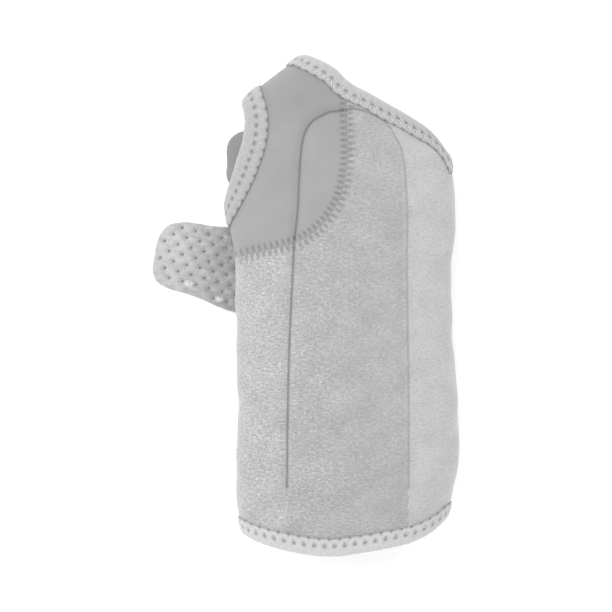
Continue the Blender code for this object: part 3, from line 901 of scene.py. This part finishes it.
@dataclass(frozen=True)
class SewingThread:
    """Spun polyester thread."""

    name: str = "sewing_thread"
    dark: float = 0.44
    light: float = 0.60

    def make(self) -> bpy.types.Material:
        """Makes the material."""
        graph = Graph(self.name, 0.7, 0.3)
        ply = graph.noise(graph.place(), 0.0005, (1, 1, 1), 2.0)
        colour = graph.mix(ply.rise(0.25, 0.75), grey(self.dark), grey(self.light))
        return graph.finish(colour, graph.bump(ply, 0.0002, 0.6))


def place_piece(
    name: str, mesh: bpy.types.Mesh, materials: Sequence[bpy.types.Material]
) -> bpy.types.Object:
    """Makes a finished mesh an object of the scene.

    Args:
        name: The piece's name.
        mesh: Its mesh, in the tables' frame.
        materials: Its materials.

    Returns:
        The object, at the origin.
    """
    mesh.transform(Matrix.Translation(CENTRE))
    mesh.shade_smooth()
    for material in materials:
        mesh.materials.append(material)
    piece = bpy.data.objects.new(name, mesh)
    bpy.context.scene.collection.objects.link(piece)
    return piece


def declare(piece: bpy.types.Object, slot: str, *nodes: str) -> None:
    """Makes a piece ride on the brace, hides the model's parts that it stands in for, and logs its finish.
    """
    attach(piece, "root")
    if nodes:
        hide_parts(*nodes)
    LOG.info("%s: %d vertices, %s", piece.name, len(piece.data.vertices), slot)


@dataclass
class ClothGrid:
    """A sheet of points, with its place on the cloth and other numbers that it carries."""

    points: np.ndarray
    outward: np.ndarray
    cloth: np.ndarray
    fields: dict[str, np.ndarray] = field(default_factory=dict)
    keep: Callable[[np.ndarray], bool] | None = None

    def mesh(self, name: str) -> bpy.types.Mesh:
        """Warps a flat grid into the sheet and welds it where it meets itself.

        Args:
            name: The mesh's name.

        Returns:
            The mesh, with its faces outward.
        """
        rows, columns = self.points.shape[:2]
        bm = bmesh.new()
        bmesh.ops.create_grid(bm, x_segments=columns - 1, y_segments=rows - 1, size=1.0)
        names = list(self.fields)
        layers = [bm.verts.layers.float.new(key) for key in names]
        uv = bm.loops.layers.uv.new("cloth")
        place = {}
        for vert in bm.verts:
            column = round((vert.co.x + 1) / 2 * (columns - 1))
            row = round((vert.co.y + 1) / 2 * (rows - 1))
            place[vert] = (row, column)
        bm.normal_update()
        for vert, at in place.items():
            vert.co = self.points[at]
            for key, layer in zip(names, layers):
                vert[layer] = self.fields[key][at]
        dropped = []
        for face in bm.faces:
            corners = [place[vert] for vert in face.verts]
            for loop, at in zip(face.loops, corners):
                loop[uv].uv = self.cloth[at]
            if self.keep is not None and not self.keep(np.array(corners)):
                dropped.append(face)
        bmesh.ops.delete(bm, geom=dropped, context="FACES")
        bm.normal_update()
        facing = sum(vert.normal.dot(self.outward[place[vert]]) for vert in bm.verts)
        if facing < 0:
            bmesh.ops.reverse_faces(bm, faces=bm.faces)
        bmesh.ops.remove_doubles(bm, verts=bm.verts, dist=WELD)
        bmesh.ops.dissolve_degenerate(bm, edges=bm.edges, dist=WELD)
        bm.normal_update()
        mesh = bpy.data.meshes.new(name)
        bm.to_mesh(mesh)
        bm.free()
        return mesh


def thicken(piece: bpy.types.Object, thickness: float, offset: float, lining: int = 0) -> None:
    """Gives a sheet its thickness.

    Args:
        piece: The sheet.
        thickness: How thick it is.
        offset: -1 puts all of it behind the sheet, 0 half on each side.
        lining: How many materials further the back's is.
    """
    solid = piece.modifiers.new("thickness", "SOLIDIFY")
    solid.thickness = thickness
    solid.offset = offset
    solid.use_rim = True
    solid.material_offset = lining
    bpy.context.view_layer.update()
    graph = bpy.context.evaluated_depsgraph_get()
    thin = piece.data
    piece.data = bpy.data.meshes.new_from_object(piece.evaluated_get(graph))
    piece.modifiers.clear()
    bpy.data.meshes.remove(thin)
    piece.data.set_sharp_from_angle(angle=math.radians(60))


def thread_line(name: str, points: np.ndarray, radius: float, closed: bool) -> bpy.types.Mesh:
    """Makes a line of thread.

    Args:
        name: The mesh's name.
        points: The points that it goes through.
        radius: The thread's radius.
        closed: Whether its ends meet.

    Returns:
        The mesh.
    """
    curve = bpy.data.curves.new(name, "CURVE")
    curve.dimensions = "3D"
    curve.bevel_depth = radius
    curve.bevel_resolution = 1
    curve.use_fill_caps = True
    spline = curve.splines.new("POLY")
    spline.points.add(len(points) - 1)
    spline.points.foreach_set("co", np.column_stack([points, np.ones(len(points))]).ravel())
    spline.use_cyclic_u = closed
    return mesh_of_curve(curve)


def mesh_of_curve(curve: bpy.types.Curve) -> bpy.types.Mesh:
    """The welded mesh of a curve, with its faces outward."""
    holder = bpy.data.objects.new(curve.name, curve)
    bpy.context.scene.collection.objects.link(holder)
    bpy.context.view_layer.update()
    graph = bpy.context.evaluated_depsgraph_get()
    mesh = bpy.data.meshes.new_from_object(holder.evaluated_get(graph))
    bm = bmesh.new()
    bm.from_mesh(mesh)
    bmesh.ops.remove_doubles(bm, verts=bm.verts, dist=WELD)
    bmesh.ops.recalc_face_normals(bm, faces=bm.faces)
    bm.to_mesh(mesh)
    bm.free()
    bpy.data.objects.remove(holder, do_unlink=True)
    return mesh


def zigzag(
    low: np.ndarray,
    high: np.ndarray,
    up_low: np.ndarray,
    up_high: np.ndarray,
    rise: float,
    sink: float,
) -> np.ndarray:
    """Leads a thread to and fro between two rows of needle holes.

    Args:
        low: The first row's holes.
        high: The second row's holes, each half a pitch on.
        up_low: The normals at the first row.
        up_high: The normals at the second row.
        rise: How high a leg lies over the cloth.
        sink: How deep the thread goes into a hole.

    Returns:
        The thread's points.
    """
    points = []
    count = min(len(low), len(high))
    stops = ((0.0, -sink), (0.16, rise * 0.5), (0.5, rise), (0.84, rise * 0.5))
    for i in range(count):
        legs = [(low[i], up_low[i], high[i], up_high[i])]
        if i + 1 < len(low):
            legs.append((high[i], up_high[i], low[i + 1], up_low[i + 1]))
        for start, up_start, end, up_end in legs:
            for share, height in stops:
                up = up_start * (1 - share) + up_end * share
                points.append(start * (1 - share) + end * share + up * height)
    return np.array(points)


@dataclass(frozen=True)
class SeamStitches:
    """The wide zigzag over the seam between the thumb panel and the loop cloth."""

    form: SleeveForm
    pitch: float = 0.0027
    row: float = 0.0019
    mark: tuple[float, float] = (0.0023, 0.0011)
    radius: float = 0.00015
    samples: int = 120

    @cached_property
    def line(self) -> np.ndarray:
        """The seam in plan."""
        return self.form.path(PANEL_SEAM, self.samples)

    def build(self, walls: Walls, material: bpy.types.Material) -> None:
        """Sews the seam's near side.

        Args:
            walls: The cloth that it lies on.
            material: The thread's finish.
        """
        steps = np.diff(self.line, axis=0)
        runs = np.concatenate([[0.0], np.cumsum(np.hypot(*steps.T))])
        tangents = unit(np.gradient(self.line, axis=0))
        rows = []
        for side, phase in ((1.0, 0.0), (-1.0, 0.5)):
            at = (np.arange(int(runs[-1] / self.pitch)) + phase) * self.pitch
            x, y, tx, ty = (
                np.interp(at, runs, values)
                for values in (*self.line.T, *tangents.T)
            )
            x, y = x + side * self.row * ty, y - side * self.row * tx
            left = self.form.points(0.0, y)[..., 0]
            top = self.form.edge_height(self.form.turn_at(x, y), HAND_EDGE, self.form.nose + 0.0062)
            rows.append((x, y, (x > left + 0.0006) & (y < top)))
        count = min(len(rows[0][0]), len(rows[1][0]))
        shown = rows[0][2][:count] & rows[1][2][:count]
        ends = []
        for x, y, _ in rows:
            x, y = x[:count][shown], y[:count][shown]
            turn = self.form.turn_at(x, y)
            ends.append((walls.surface(turn, y), self.form.normals(turn, y)))
        points = zigzag(ends[0][0], ends[1][0], ends[0][1], ends[1][1], self.radius * 0.4, 0.0005)
        mesh = thread_line("panel_stitches", points, self.radius, False)
        piece = place_piece("panel_stitches", mesh, [material])
        declare(piece, "smooth_knit")


@dataclass(frozen=True)
class Walls:
    """The sleeve's wall: the loop cloth and the smooth thumb panel, sewn along one seam."""

    form: SleeveForm
    stitches: SeamStitches
    columns: int = 221
    rows: int = 186
    snap_reach: float = 0.72
    groove_depth: float = 0.0005
    groove_width: float = 0.0009
    pad_height: float = 0.0009
    dip_depth: float = 0.0004
    seam_depth: float = 0.0003
    swell: float = 0.00022

    @cached_property
    def pocket(self) -> np.ndarray:
        """The pocket's pressed seam in plan."""
        return self.form.path(POCKET_SEAM, 150)

    @cached_property
    def thumb(self) -> np.ndarray:
        """The wall's edge round the thumb hole, on the cloth, as a closed line."""
        turn, y = self.form.thumb_rim(96, self.form.nose)
        line = np.column_stack([turn * self.form.girth, y])
        return np.concatenate([line, line[:1]])

    def from_thumb(self, turn: np.ndarray, y: np.ndarray) -> np.ndarray:
        """How far a place on the cloth is outside the thumb hole."""
        turn = np.mod(turn + 0.5, 1.0) - 0.5
        line = self.thumb
        steps = np.diff(line, axis=0)
        area = np.sum(line[:-1, 0] * steps[:, 1] - line[:-1, 1] * steps[:, 0])
        signed = beside(np.stack([turn * self.form.girth, y], axis=-1), line)[0]
        return signed if area > 0 else -signed

    def from_seam(self, turn: np.ndarray, y: np.ndarray) -> np.ndarray:
        """How far a place lies on the panel's side of the seam."""
        return beside(self.form.points(turn, y)[..., :2], self.stitches.line)[0]

    def pocket_fields(self, places: np.ndarray) -> tuple[np.ndarray, np.ndarray]:
        """How far places are inside the pocket, and whether its seam is beside them."""
        signed, run = beside(places[..., :2], self.pocket)
        low = float(self.pocket[0, 1])
        firm = 1.0 - 0.5 * ease(run, 0.178, 0.194)
        return signed, ease(places[..., 1], low - 0.0004, low + 0.0012) * firm

    def relief(self, turn: np.ndarray, y: np.ndarray) -> np.ndarray:
        """Finds how far the cloth stands out from the plain form.

        Args:
            turn: Turns round the section.
            y: Heights along Y.

        Returns:
            Heights along the normals.
        """
        form = self.form
        places = form.points(turn, y)
        near = ease(form.normals(turn, y)[..., 2], -0.25, 0.25)
        inside, on = self.pocket_fields(places)
        inward = np.minimum(y - form.edge(turn, HEM_EDGE), form.edge(turn, HAND_EDGE) - y)
        free = ease(inward, 0.0085, 0.0150) * ease(self.from_thumb(turn, y), 0.0100, 0.0160)
        groove = -self.groove_depth * np.exp(-((inside / self.groove_width) ** 2)) * on
        low = float(self.pocket[0, 1])
        filled = ease(places[..., 1], low - 0.012, low + 0.006)
        pad = self.pad_height * ease(inside, 0.0, 0.0060) * filled
        dip = self.dip_depth * np.exp(-((np.minimum(inside, 0.0) / 0.0045) ** 2))
        pad = pad - dip * on * (inside < 0)
        seam = beside(places[..., :2], self.stitches.line)[0]
        valley = -self.seam_depth * np.exp(-((seam / 0.0030) ** 2))
        u = turn * form.girth
        waves = np.sin(y * 190 + 2.2 * np.sin(u * 70)) + np.sin(u * 160 + 1.7 * np.sin(y * 95) + 0.8)
        waves = waves + 0.7 * np.sin(y * 370 - u * 240 + 1.9) + 0.6 * np.sin(y * 310 + u * 330)
        pressed = groove * ease(inward, 0.0085, 0.0100)
        return near * (free * (pad + self.swell * waves) + pressed + valley * free)

    def surface(self, turn: np.ndarray, y: np.ndarray) -> np.ndarray:
        """The cloth's outer face."""
        normal = self.form.normals(turn, y)
        return self.form.points(turn, y) + normal * self.relief(turn, y)[..., None]

    def snapped(
        self,
        turn: np.ndarray,
        y: np.ndarray,
        distance: Callable[[np.ndarray, np.ndarray], np.ndarray],
        reach: float,
    ) -> tuple[np.ndarray, np.ndarray]:
        """Moves the grid's points that are near a line onto it.

        Args:
            turn: The points' turns.
            y: Their heights along Y.
            distance: How far from the line a point is.
            reach: How near they have to be.

        Returns:
            The turns and heights after the move.
        """
        turn, y = turn.copy(), y.copy()
        near = np.abs(distance(turn, y)) < reach
        t, s = turn[near], y[near]
        step = 0.0002
        for _ in range(3):
            off = distance(t, s)
            by_u = (distance(t + step / self.form.girth, s) - off) / step
            by_y = (distance(t, s + step) - off) / step
            size = np.maximum(by_u**2 + by_y**2, 0.25)
            t, s = t - off * by_u / size / self.form.girth, s - off * by_y / size
        turn[near], y[near] = t, s
        return turn, y

    def grid(self, panel: bool) -> ClothGrid:
        """Lays out one side of the seam.

        Args:
            panel: Whether it is the panel's side.

        Returns:
            Its points and what they carry.
        """
        form = self.form
        turns = np.linspace(-0.25, 0.75, self.columns)
        low = form.edge_height(turns, HEM_EDGE, form.nose)
        high = form.edge_height(turns, HAND_EDGE, form.nose)
        shares = np.linspace(0.0, 1.0, self.rows)[:, None]
        turn, y = np.broadcast_arrays(turns[None, :], low + (high - low) * shares)
        cell = form.girth / (self.columns - 1)
        for distance in (self.from_seam, self.from_thumb):
            turn, y = self.snapped(turn, y, distance, self.snap_reach * cell)
        points = self.surface(turn, y)
        seam, run = beside(points[..., :2], self.stitches.line)
        pocket, pocket_on = self.pocket_fields(points)
        near = form.normals(turn, y)[..., 2] > 0
        thumb = self.from_thumb(turn, y)
        sign = 1.0 if panel else -1.0

        def keep(corners: np.ndarray) -> bool:
            """Whether a face is this side of the seam and outside the thumb hole."""
            at = tuple(corners.T)
            return thumb[at].sum() > 0 and sign * seam[at].sum() > 0

        fields = {
            "seam": seam,
            "seam_run": run,
            "pocket": np.clip(pocket, -0.02, 0.02),
            "pocket_on": pocket_on * near,
        }
        cloth = np.stack([turn * form.girth, y], axis=-1)
        return ClothGrid(points, form.normals(turn, y), cloth, fields, keep)

    def build(self, loop: bpy.types.Material, knit: bpy.types.Material, lining: bpy.types.Material) -> None:
        """Makes the two pieces of the wall.

        Args:
            loop: The loop cloth's finish.
            knit: The panel's finish.
            lining: The finish inside.
        """
        for name, panel, material, slot, flat, area in (
            ("sleeve_cloth", False, loop, "loop_pile", (0.245, 0.210), 0.0385),
            ("panel_cloth", True, knit, "smooth_knit", (0.120, 0.100), 0.0090),
        ):
            node = "thumb_panel" if panel else "loop_sleeve"
            piece = place_piece(name, self.grid(panel).mesh(name), [material, lining])
            thicken(piece, self.form.wall, -1.0, 1)
            declare(piece, slot, node)


class Edge(Enum):
    """The three edges that a tape is folded over."""

    HEM = "hem_binding"
    HAND = "hand_binding"
    THUMB = "thumb_binding"


@dataclass(frozen=True)
class Binding:
    """A tape folded over an edge and held by a zigzag."""

    form: SleeveForm
    edge: Edge
    width: float
    gap: float
    pitch_wanted: float
    low_row: float
    high_row: float
    flat_width: float
    # how light this binding's tape is painted: lit and shaded copies of one tape, painted light and shade
    tone: float = 1.0
    columns: int = 560
    flank_rows: int = 12
    roll_rows: int = 9
    thread: float = 0.00022

    @property
    def name(self) -> str:
        """The node that the binding stands for."""
        return self.edge.value

    def lines(self, widths: Sequence[float]) -> list[tuple[np.ndarray, np.ndarray]]:
        """Points and normals of lines that lie so far inward of the wall's edge."""
        form = self.form
        made = []
        for width in widths:
            inward = form.nose + width
            if self.edge is Edge.THUMB:
                turn, y = form.thumb_rim(self.columns - 1, inward)
                turn, y = np.append(turn, turn[0]), np.append(y, y[0])
            else:
                turn = np.linspace(-0.25, 0.75, self.columns)
                y = form.edge_height(turn, HEM_EDGE if self.edge is Edge.HEM else HAND_EDGE, inward)
            made.append((form.points(turn, y), form.normals(turn, y)))
        return made

    @cached_property
    def run(self) -> np.ndarray:
        """The distance along the edge at each column."""
        edge = self.lines([0.0])[0][0]
        return np.concatenate([[0.0], np.cumsum(np.linalg.norm(np.diff(edge, axis=0), axis=-1))])

    @property
    def stitches(self) -> int:
        """How many stitches go round."""
        return round(float(self.run[-1]) / self.pitch_wanted)

    @property
    def pitch(self) -> float:
        """The stitches' pitch, which closes round the edge."""
        return float(self.run[-1]) / self.stitches

    @cached_property
    def flank(self) -> tuple[np.ndarray, np.ndarray, np.ndarray]:
        """Widths inward, and the points and normals of the outer flank's lines."""
        widths = np.linspace(0.0, self.width, self.flank_rows)
        lines = self.lines(widths)
        return widths, np.array([p for p, _ in lines]), np.array([n for _, n in lines])

    def grid(self) -> ClothGrid:
        """Lays out the folded tape's middle surface.

        Returns:
            Its points and what they carry.
        """
        form = self.form
        widths, points, normals = self.flank
        stand = self.gap + form.tape / 2
        edge, normal = points[0], normals[0]
        tangent = unit(points[1] - edge)
        radius = form.wall / 2 + stand
        rows, outward, across = [], [], []
        seated = ease(widths, self.width - 0.0024, self.width - 0.0005) * (self.gap - 0.00005)
        for i in range(len(widths) - 1, -1, -1):
            rows.append(points[i] + normals[i] * (stand - seated[i]))
            outward.append(normals[i])
            across.append(widths[i])
        for angle in np.linspace(0.0, math.pi, self.roll_rows + 2)[1:-1]:
            arm = normal * math.cos(angle) - tangent * math.sin(angle)
            rows.append(edge - normal * form.wall / 2 + arm * radius)
            outward.append(arm)
            across.append(-radius * angle)
        for i in range(0, len(widths), 2):
            rows.append(points[i] - normals[i] * (form.wall + stand))
            outward.append(-normals[i])
            across.append(-radius * math.pi - widths[i])
        rows_at, out = np.array(rows), np.array(outward)
        across_at, run = np.array(across)[:, None], self.run[None, :]
        pull = np.zeros((len(rows), self.columns))
        for row, phase, depth in ((self.low_row, 0.0, 0.00022), (self.high_row, 0.5, 0.00008)):
            along = (np.mod(run / self.pitch - phase + 0.5, 1.0) - 0.5) * self.pitch
            pull -= depth * np.exp(-(along**2 + (across_at - row) ** 2) / 0.0009**2)
        puff = 0.00010 * (0.5 - 0.5 * np.cos(2 * math.pi * run / self.pitch))
        pull += puff * np.exp(-(((across_at + 0.5 * radius) / 0.0030) ** 2))
        on_floor = ease(out[..., 2], -0.9, -0.5)
        rows_at = rows_at + out * (pull * on_floor)[..., None]
        cloth = np.stack(np.broadcast_arrays(run, across_at), axis=-1)
        return ClothGrid(rows_at, out, cloth)

    def sewn(self, row: float, phase: float) -> tuple[np.ndarray, np.ndarray]:
        """Needle holes of one row, and the normals there."""
        widths, points, normals = self.flank
        at = np.mod((np.arange(self.stitches + 1) + phase) * self.pitch, self.run[-1] + 1e-9)
        i = np.interp(row, widths, np.arange(len(widths)))
        low, share = min(int(i), len(widths) - 2), i - min(int(i), len(widths) - 2)
        line = points[low] * (1 - share) + points[low + 1] * share
        up = unit(normals[low] * (1 - share) + normals[low + 1] * share)
        place = np.column_stack([np.interp(at, self.run, line[:, k]) for k in range(3)])
        ups = np.column_stack([np.interp(at, self.run, up[:, k]) for k in range(3)])
        seated = float(ease(np.array(row), self.width - 0.0024, self.width - 0.0005)) * self.gap
        return place + ups * (self.gap - seated + self.form.tape), ups

    def build(self, tape: BindingTape, thread: bpy.types.Material) -> None:
        """Makes the tape and its stitches.

        Args:
            tape: The tape's finish.
            thread: The thread's finish.
        """
        piece = place_piece(f"{self.name}_tape", self.grid().mesh(self.name), [tape.make(self)])
        thicken(piece, self.form.tape, 0.0)
        declare(piece, "binding_tape", self.name)
        float(self.run[-1])
        low, up_low = self.sewn(self.low_row, 0.0)
        high, up_high = self.sewn(self.high_row, 0.5)
        shown = (up_low[:, 2] > -0.6) & (up_high[:, 2] > -0.6)
        start = int(np.argmin(shown)) if not shown.all() else 0
        order = np.roll(np.arange(len(shown) - 1), -start)
        order = order[shown[order]]
        points = zigzag(low[order], high[order], up_low[order], up_high[order], self.thread * 0.5, 0.0005)
        name = f"{self.name}_stitches"
        stitches = place_piece(name, thread_line(name, points, self.thread, False), [thread])
        declare(stitches, "binding_tape")


@dataclass(frozen=True)
class Strap:
    """A strap cut from sheet, lying on the floor under the sleeve."""

    name: str
    outline: tuple[tuple[float, float, float], ...]
    reach: float
    width: float
    thickness: float
    tip: tuple[float, float]
    tilt: float = 0.0
    round_edge: float = 0.0007

    def corners(self) -> list[tuple[float, float]]:
        """Points round the strap, whose tip is at the origin and which runs along +X."""
        upper = [(row[0] * self.reach, row[1] * self.width) for row in self.outline]
        lower = [(row[0] * self.reach, row[2] * self.width) for row in self.outline]
        middle = (self.outline[0][1] + self.outline[0][2]) / 2 * self.width
        inset = self.width * 0.06
        end = [(self.reach, upper[-1][1] - inset), (self.reach, lower[-1][1] + inset)]
        return [(0.0, middle)] + upper + end + lower[::-1]

    def holes(self) -> list[tuple[float, float]]:
        """The centres of its holes, which it has none of."""
        return []

    def place_on_cloth(self, x: float, y: float) -> tuple[float, float]:
        """Where on the cloth's pattern a place of the strap is."""
        return x, y

    def build(self, material: bpy.types.Material, slot: str, hole_radius: float = 0.0) -> None:
        """Cuts the strap with a round edge and lays it down.

        Args:
            material: Its finish.
            slot: The finish's slot, which is logged.
            hole_radius: The radius of its holes.
        """
        curve = bpy.data.curves.new(self.name, "CURVE")
        curve.dimensions = "2D"
        curve.fill_mode = "BOTH"
        curve.extrude = self.thickness / 2 - self.round_edge
        curve.bevel_depth = self.round_edge
        curve.bevel_resolution = 2
        curve.offset = -self.round_edge
        curve.resolution_u = 8
        spline = curve.splines.new("BEZIER")
        corners = self.corners()
        spline.bezier_points.add(len(corners) - 1)
        spline.use_cyclic_u = True
        for point, (x, y) in zip(spline.bezier_points, corners):
            point.co = (x, y, 0.0)
            point.handle_left_type = point.handle_right_type = "AUTO"
        for x, y in self.holes():
            ring = curve.splines.new("POLY")
            ring.points.add(11)
            ring.use_cyclic_u = True
            for i, point in enumerate(ring.points):
                angle = i / 12 * 2 * math.pi
                along, across = hole_radius * math.cos(angle), hole_radius * math.sin(angle)
                point.co = (x + along, y + across, 0.0, 1.0)
        mesh = mesh_of_curve(curve)
        bm = bmesh.new()
        bm.from_mesh(mesh)
        bmesh.ops.triangulate(bm, faces=[face for face in bm.faces if len(face.verts) > 4])
        uv = bm.loops.layers.uv.new("cloth")
        for face in bm.faces:
            for loop in face.loops:
                loop[uv].uv = self.place_on_cloth(loop.vert.co.x, loop.vert.co.y)
        bm.to_mesh(mesh)
        bm.free()
        turned = Matrix.Rotation(-self.tilt, 4, "Z")
        mesh.transform(Matrix.Translation((*self.tip, self.thickness / 2)) @ turned)
        piece = place_piece(f"{self.name}_cloth", mesh, [material])
        mesh.set_sharp_from_angle(angle=math.radians(50))
        declare(piece, slot, self.name)


@dataclass(frozen=True)
class WristStrap(Strap):
    """The strap under the wrist, pierced in staggered rows near its tip."""

    hole_radius: float = 0.00052
    hole_pitch: float = 0.0062
    hole_row_step: float = 0.0039
    hole_tilt: float = math.radians(14.5)
    hole_start: tuple[float, float] = (0.0215, -0.0006)
    hole_margin: float = 0.0016
    holed_reach: float = 0.0480
    # where the two worn places with painted highlights lie
    wear_and_highlight_places: tuple[tuple[float, float], ...] = ((-0.0521, 0.0093), (-0.0389, 0.0022))

    def place_on_cloth(self, x: float, y: float) -> tuple[float, float]:
        """Where in the rows of holes a place of the strap is."""
        turn = self.tilt - self.hole_tilt
        x, y = x - self.hole_start[0], y - self.hole_start[1]
        return x * math.cos(turn) + y * math.sin(turn), y * math.cos(turn) - x * math.sin(turn)

    def holes(self) -> list[tuple[float, float]]:
        """The centres of the holes."""
        places = []
        turn = self.tilt - self.hole_tilt
        outline = np.array(self.corners())
        path = np.concatenate([outline, outline[:1]])
        for row in range(-20, 21):
            for column in range(-20, 21):
                along = (column + 0.5 * (row % 2)) * self.hole_pitch
                across = row * self.hole_row_step
                x = self.hole_start[0] + along * math.cos(turn) - across * math.sin(turn)
                y = self.hole_start[1] + along * math.sin(turn) + across * math.cos(turn)
                inside = float(beside(np.array([[x, y]]), path)[0][0])
                if x < self.holed_reach and inside >= self.hole_margin + self.hole_radius:
                    places.append((x, y))
        return places


@dataclass(frozen=True)
class Studio:
    """The pale floor, the soft light and the camera over the brace."""

    floor_tone: float = 0.90
    floor_glow: float = 0.22
    ambient: float = 1.12
    key_power: float = 10.0
    camera_place: tuple[float, float, float] = (0.00076, -0.00089, 1.2)
    lens: float = 155.98

    def floor(self) -> None:
        """Lays the floor, a light table with a faint glow."""
        bm = bmesh.new()
        bmesh.ops.create_grid(bm, x_segments=1, y_segments=1, size=3.0)
        mesh = bpy.data.meshes.new("floor")
        bm.to_mesh(mesh)
        bm.free()
        graph = Graph("studio_floor", 0.9, 0.0, 0.1)
        cloudy = graph.noise(graph.place(), 0.5)
        tones = grey(self.floor_tone), grey(self.floor_tone + 0.01)
        colour = graph.mix(cloudy.rise(0.3, 0.7), *tones)
        graph.shader.inputs["Emission Color"].default_value = grey(1.0)
        graph.shader.inputs["Emission Strength"].default_value = self.floor_glow
        mesh.materials.append(graph.finish(colour, graph.bump(cloudy, 0.0001, 0.1)))
        floor = bpy.data.objects.new("floor", mesh)
        bpy.context.scene.collection.objects.link(floor)

    def light(self) -> None:
        """Sets the even light of the room and a soft key light."""
        world = bpy.data.worlds.new("soft_room")
        world.use_nodes = True
        background = world.node_tree.nodes["Background"]
        background.inputs["Color"].default_value = grey(1.0)
        background.inputs["Strength"].default_value = self.ambient
        bpy.context.scene.world = world
        lamp = bpy.data.lights.new("key", "AREA")
        lamp.shape = "DISK"
        lamp.size = 1.2
        lamp.energy = self.key_power
        key = bpy.data.objects.new("key", lamp)
        key.location = (-0.55, 0.60, 1.20)
        bpy.context.scene.collection.objects.link(key)
        key.rotation_euler = (-key.location).to_track_quat("-Z", "Y").to_euler()

    def camera(self) -> None:
        """Hangs the camera straight over the brace, with +Y up in the picture."""
        lens = bpy.data.cameras.new("camera")
        lens.lens = self.lens
        lens.sensor_width = 36.0
        lens.clip_start = 0.01
        camera = bpy.data.objects.new("camera", lens)
        camera.location = self.camera_place
        bpy.context.scene.collection.objects.link(camera)
        bpy.context.scene.camera = camera

    def build(self) -> None:
        """Sets up the room, with the picture's tones as they are."""
        bpy.context.scene.view_settings.view_transform = "Standard"
        self.floor()
        self.light()
        self.camera()


def main() -> None:
    """Builds the brace's looks and the room."""
    logging.basicConfig(level=logging.INFO, format="%(message)s")
    form = SleeveForm()
    stitches = SeamStitches(form)
    walls = Walls(form, stitches)
    thread = SewingThread().make()
    # The seam's thread is darker: partly a darker grey thread, partly painted shade where its legs lie in
    # the pile.
    seam_thread = SewingThread("seam_thread", 0.24, 0.34).make()
    # The thumb's thread is a darker copy of the thread, painted shade to match its tape.
    thumb_thread = SewingThread("thumb_thread", 0.33, 0.47).make()
    Studio().build()
    loop = LoopPile().make(stitches)
    knit = SmoothKnit().make(stitches)
    plain = SmoothKnit(name="lining_knit").make(None)
    walls.build(loop, knit, plain)
    stitches.build(walls, seam_thread)
    tape = BindingTape()
    # Each binding's tone (1.04, 0.84, 0.78): the hem's tape painted lighter, the hand's and the thumb's
    # painted darker, as painted light and shade.
    for binding in (
        Binding(form, Edge.HEM, 0.0056, form.seat_gap, 0.0044, 0.0024, 0.0052, 0.0186, 1.04),
        Binding(form, Edge.HAND, 0.0056, form.seat_gap, 0.0041, 0.0024, 0.0052, 0.0186, 0.84),
        Binding(
            form, Edge.THUMB, 0.0092, form.thumb_gap, 0.0035, 0.0044, 0.0088, 0.0263, 0.78,
            columns=300, flank_rows=18,
        ),
    ):
        binding.build(tape, thumb_thread if binding.edge is Edge.THUMB else thread)
    wrist = WristStrap(
        "wrist_strap", WRIST_STRAP_OUTLINE, 0.1150, 0.0390, 0.0032, (-0.0690, 0.0210), math.radians(9.0)
    )
    wrist.build(PiercedFoam().make(wrist), "pierced_foam", wrist.hole_radius)
    hand = Strap("hand_strap", HAND_STRAP_OUTLINE, 0.0850, 0.0255, 0.0025, (-0.0360, 0.0663))
    hand.build(SmoothKnit(name="strap_knit", dark=0.25, light=0.31).make(None), "smooth_knit")


if __name__ == "__main__":
    main()
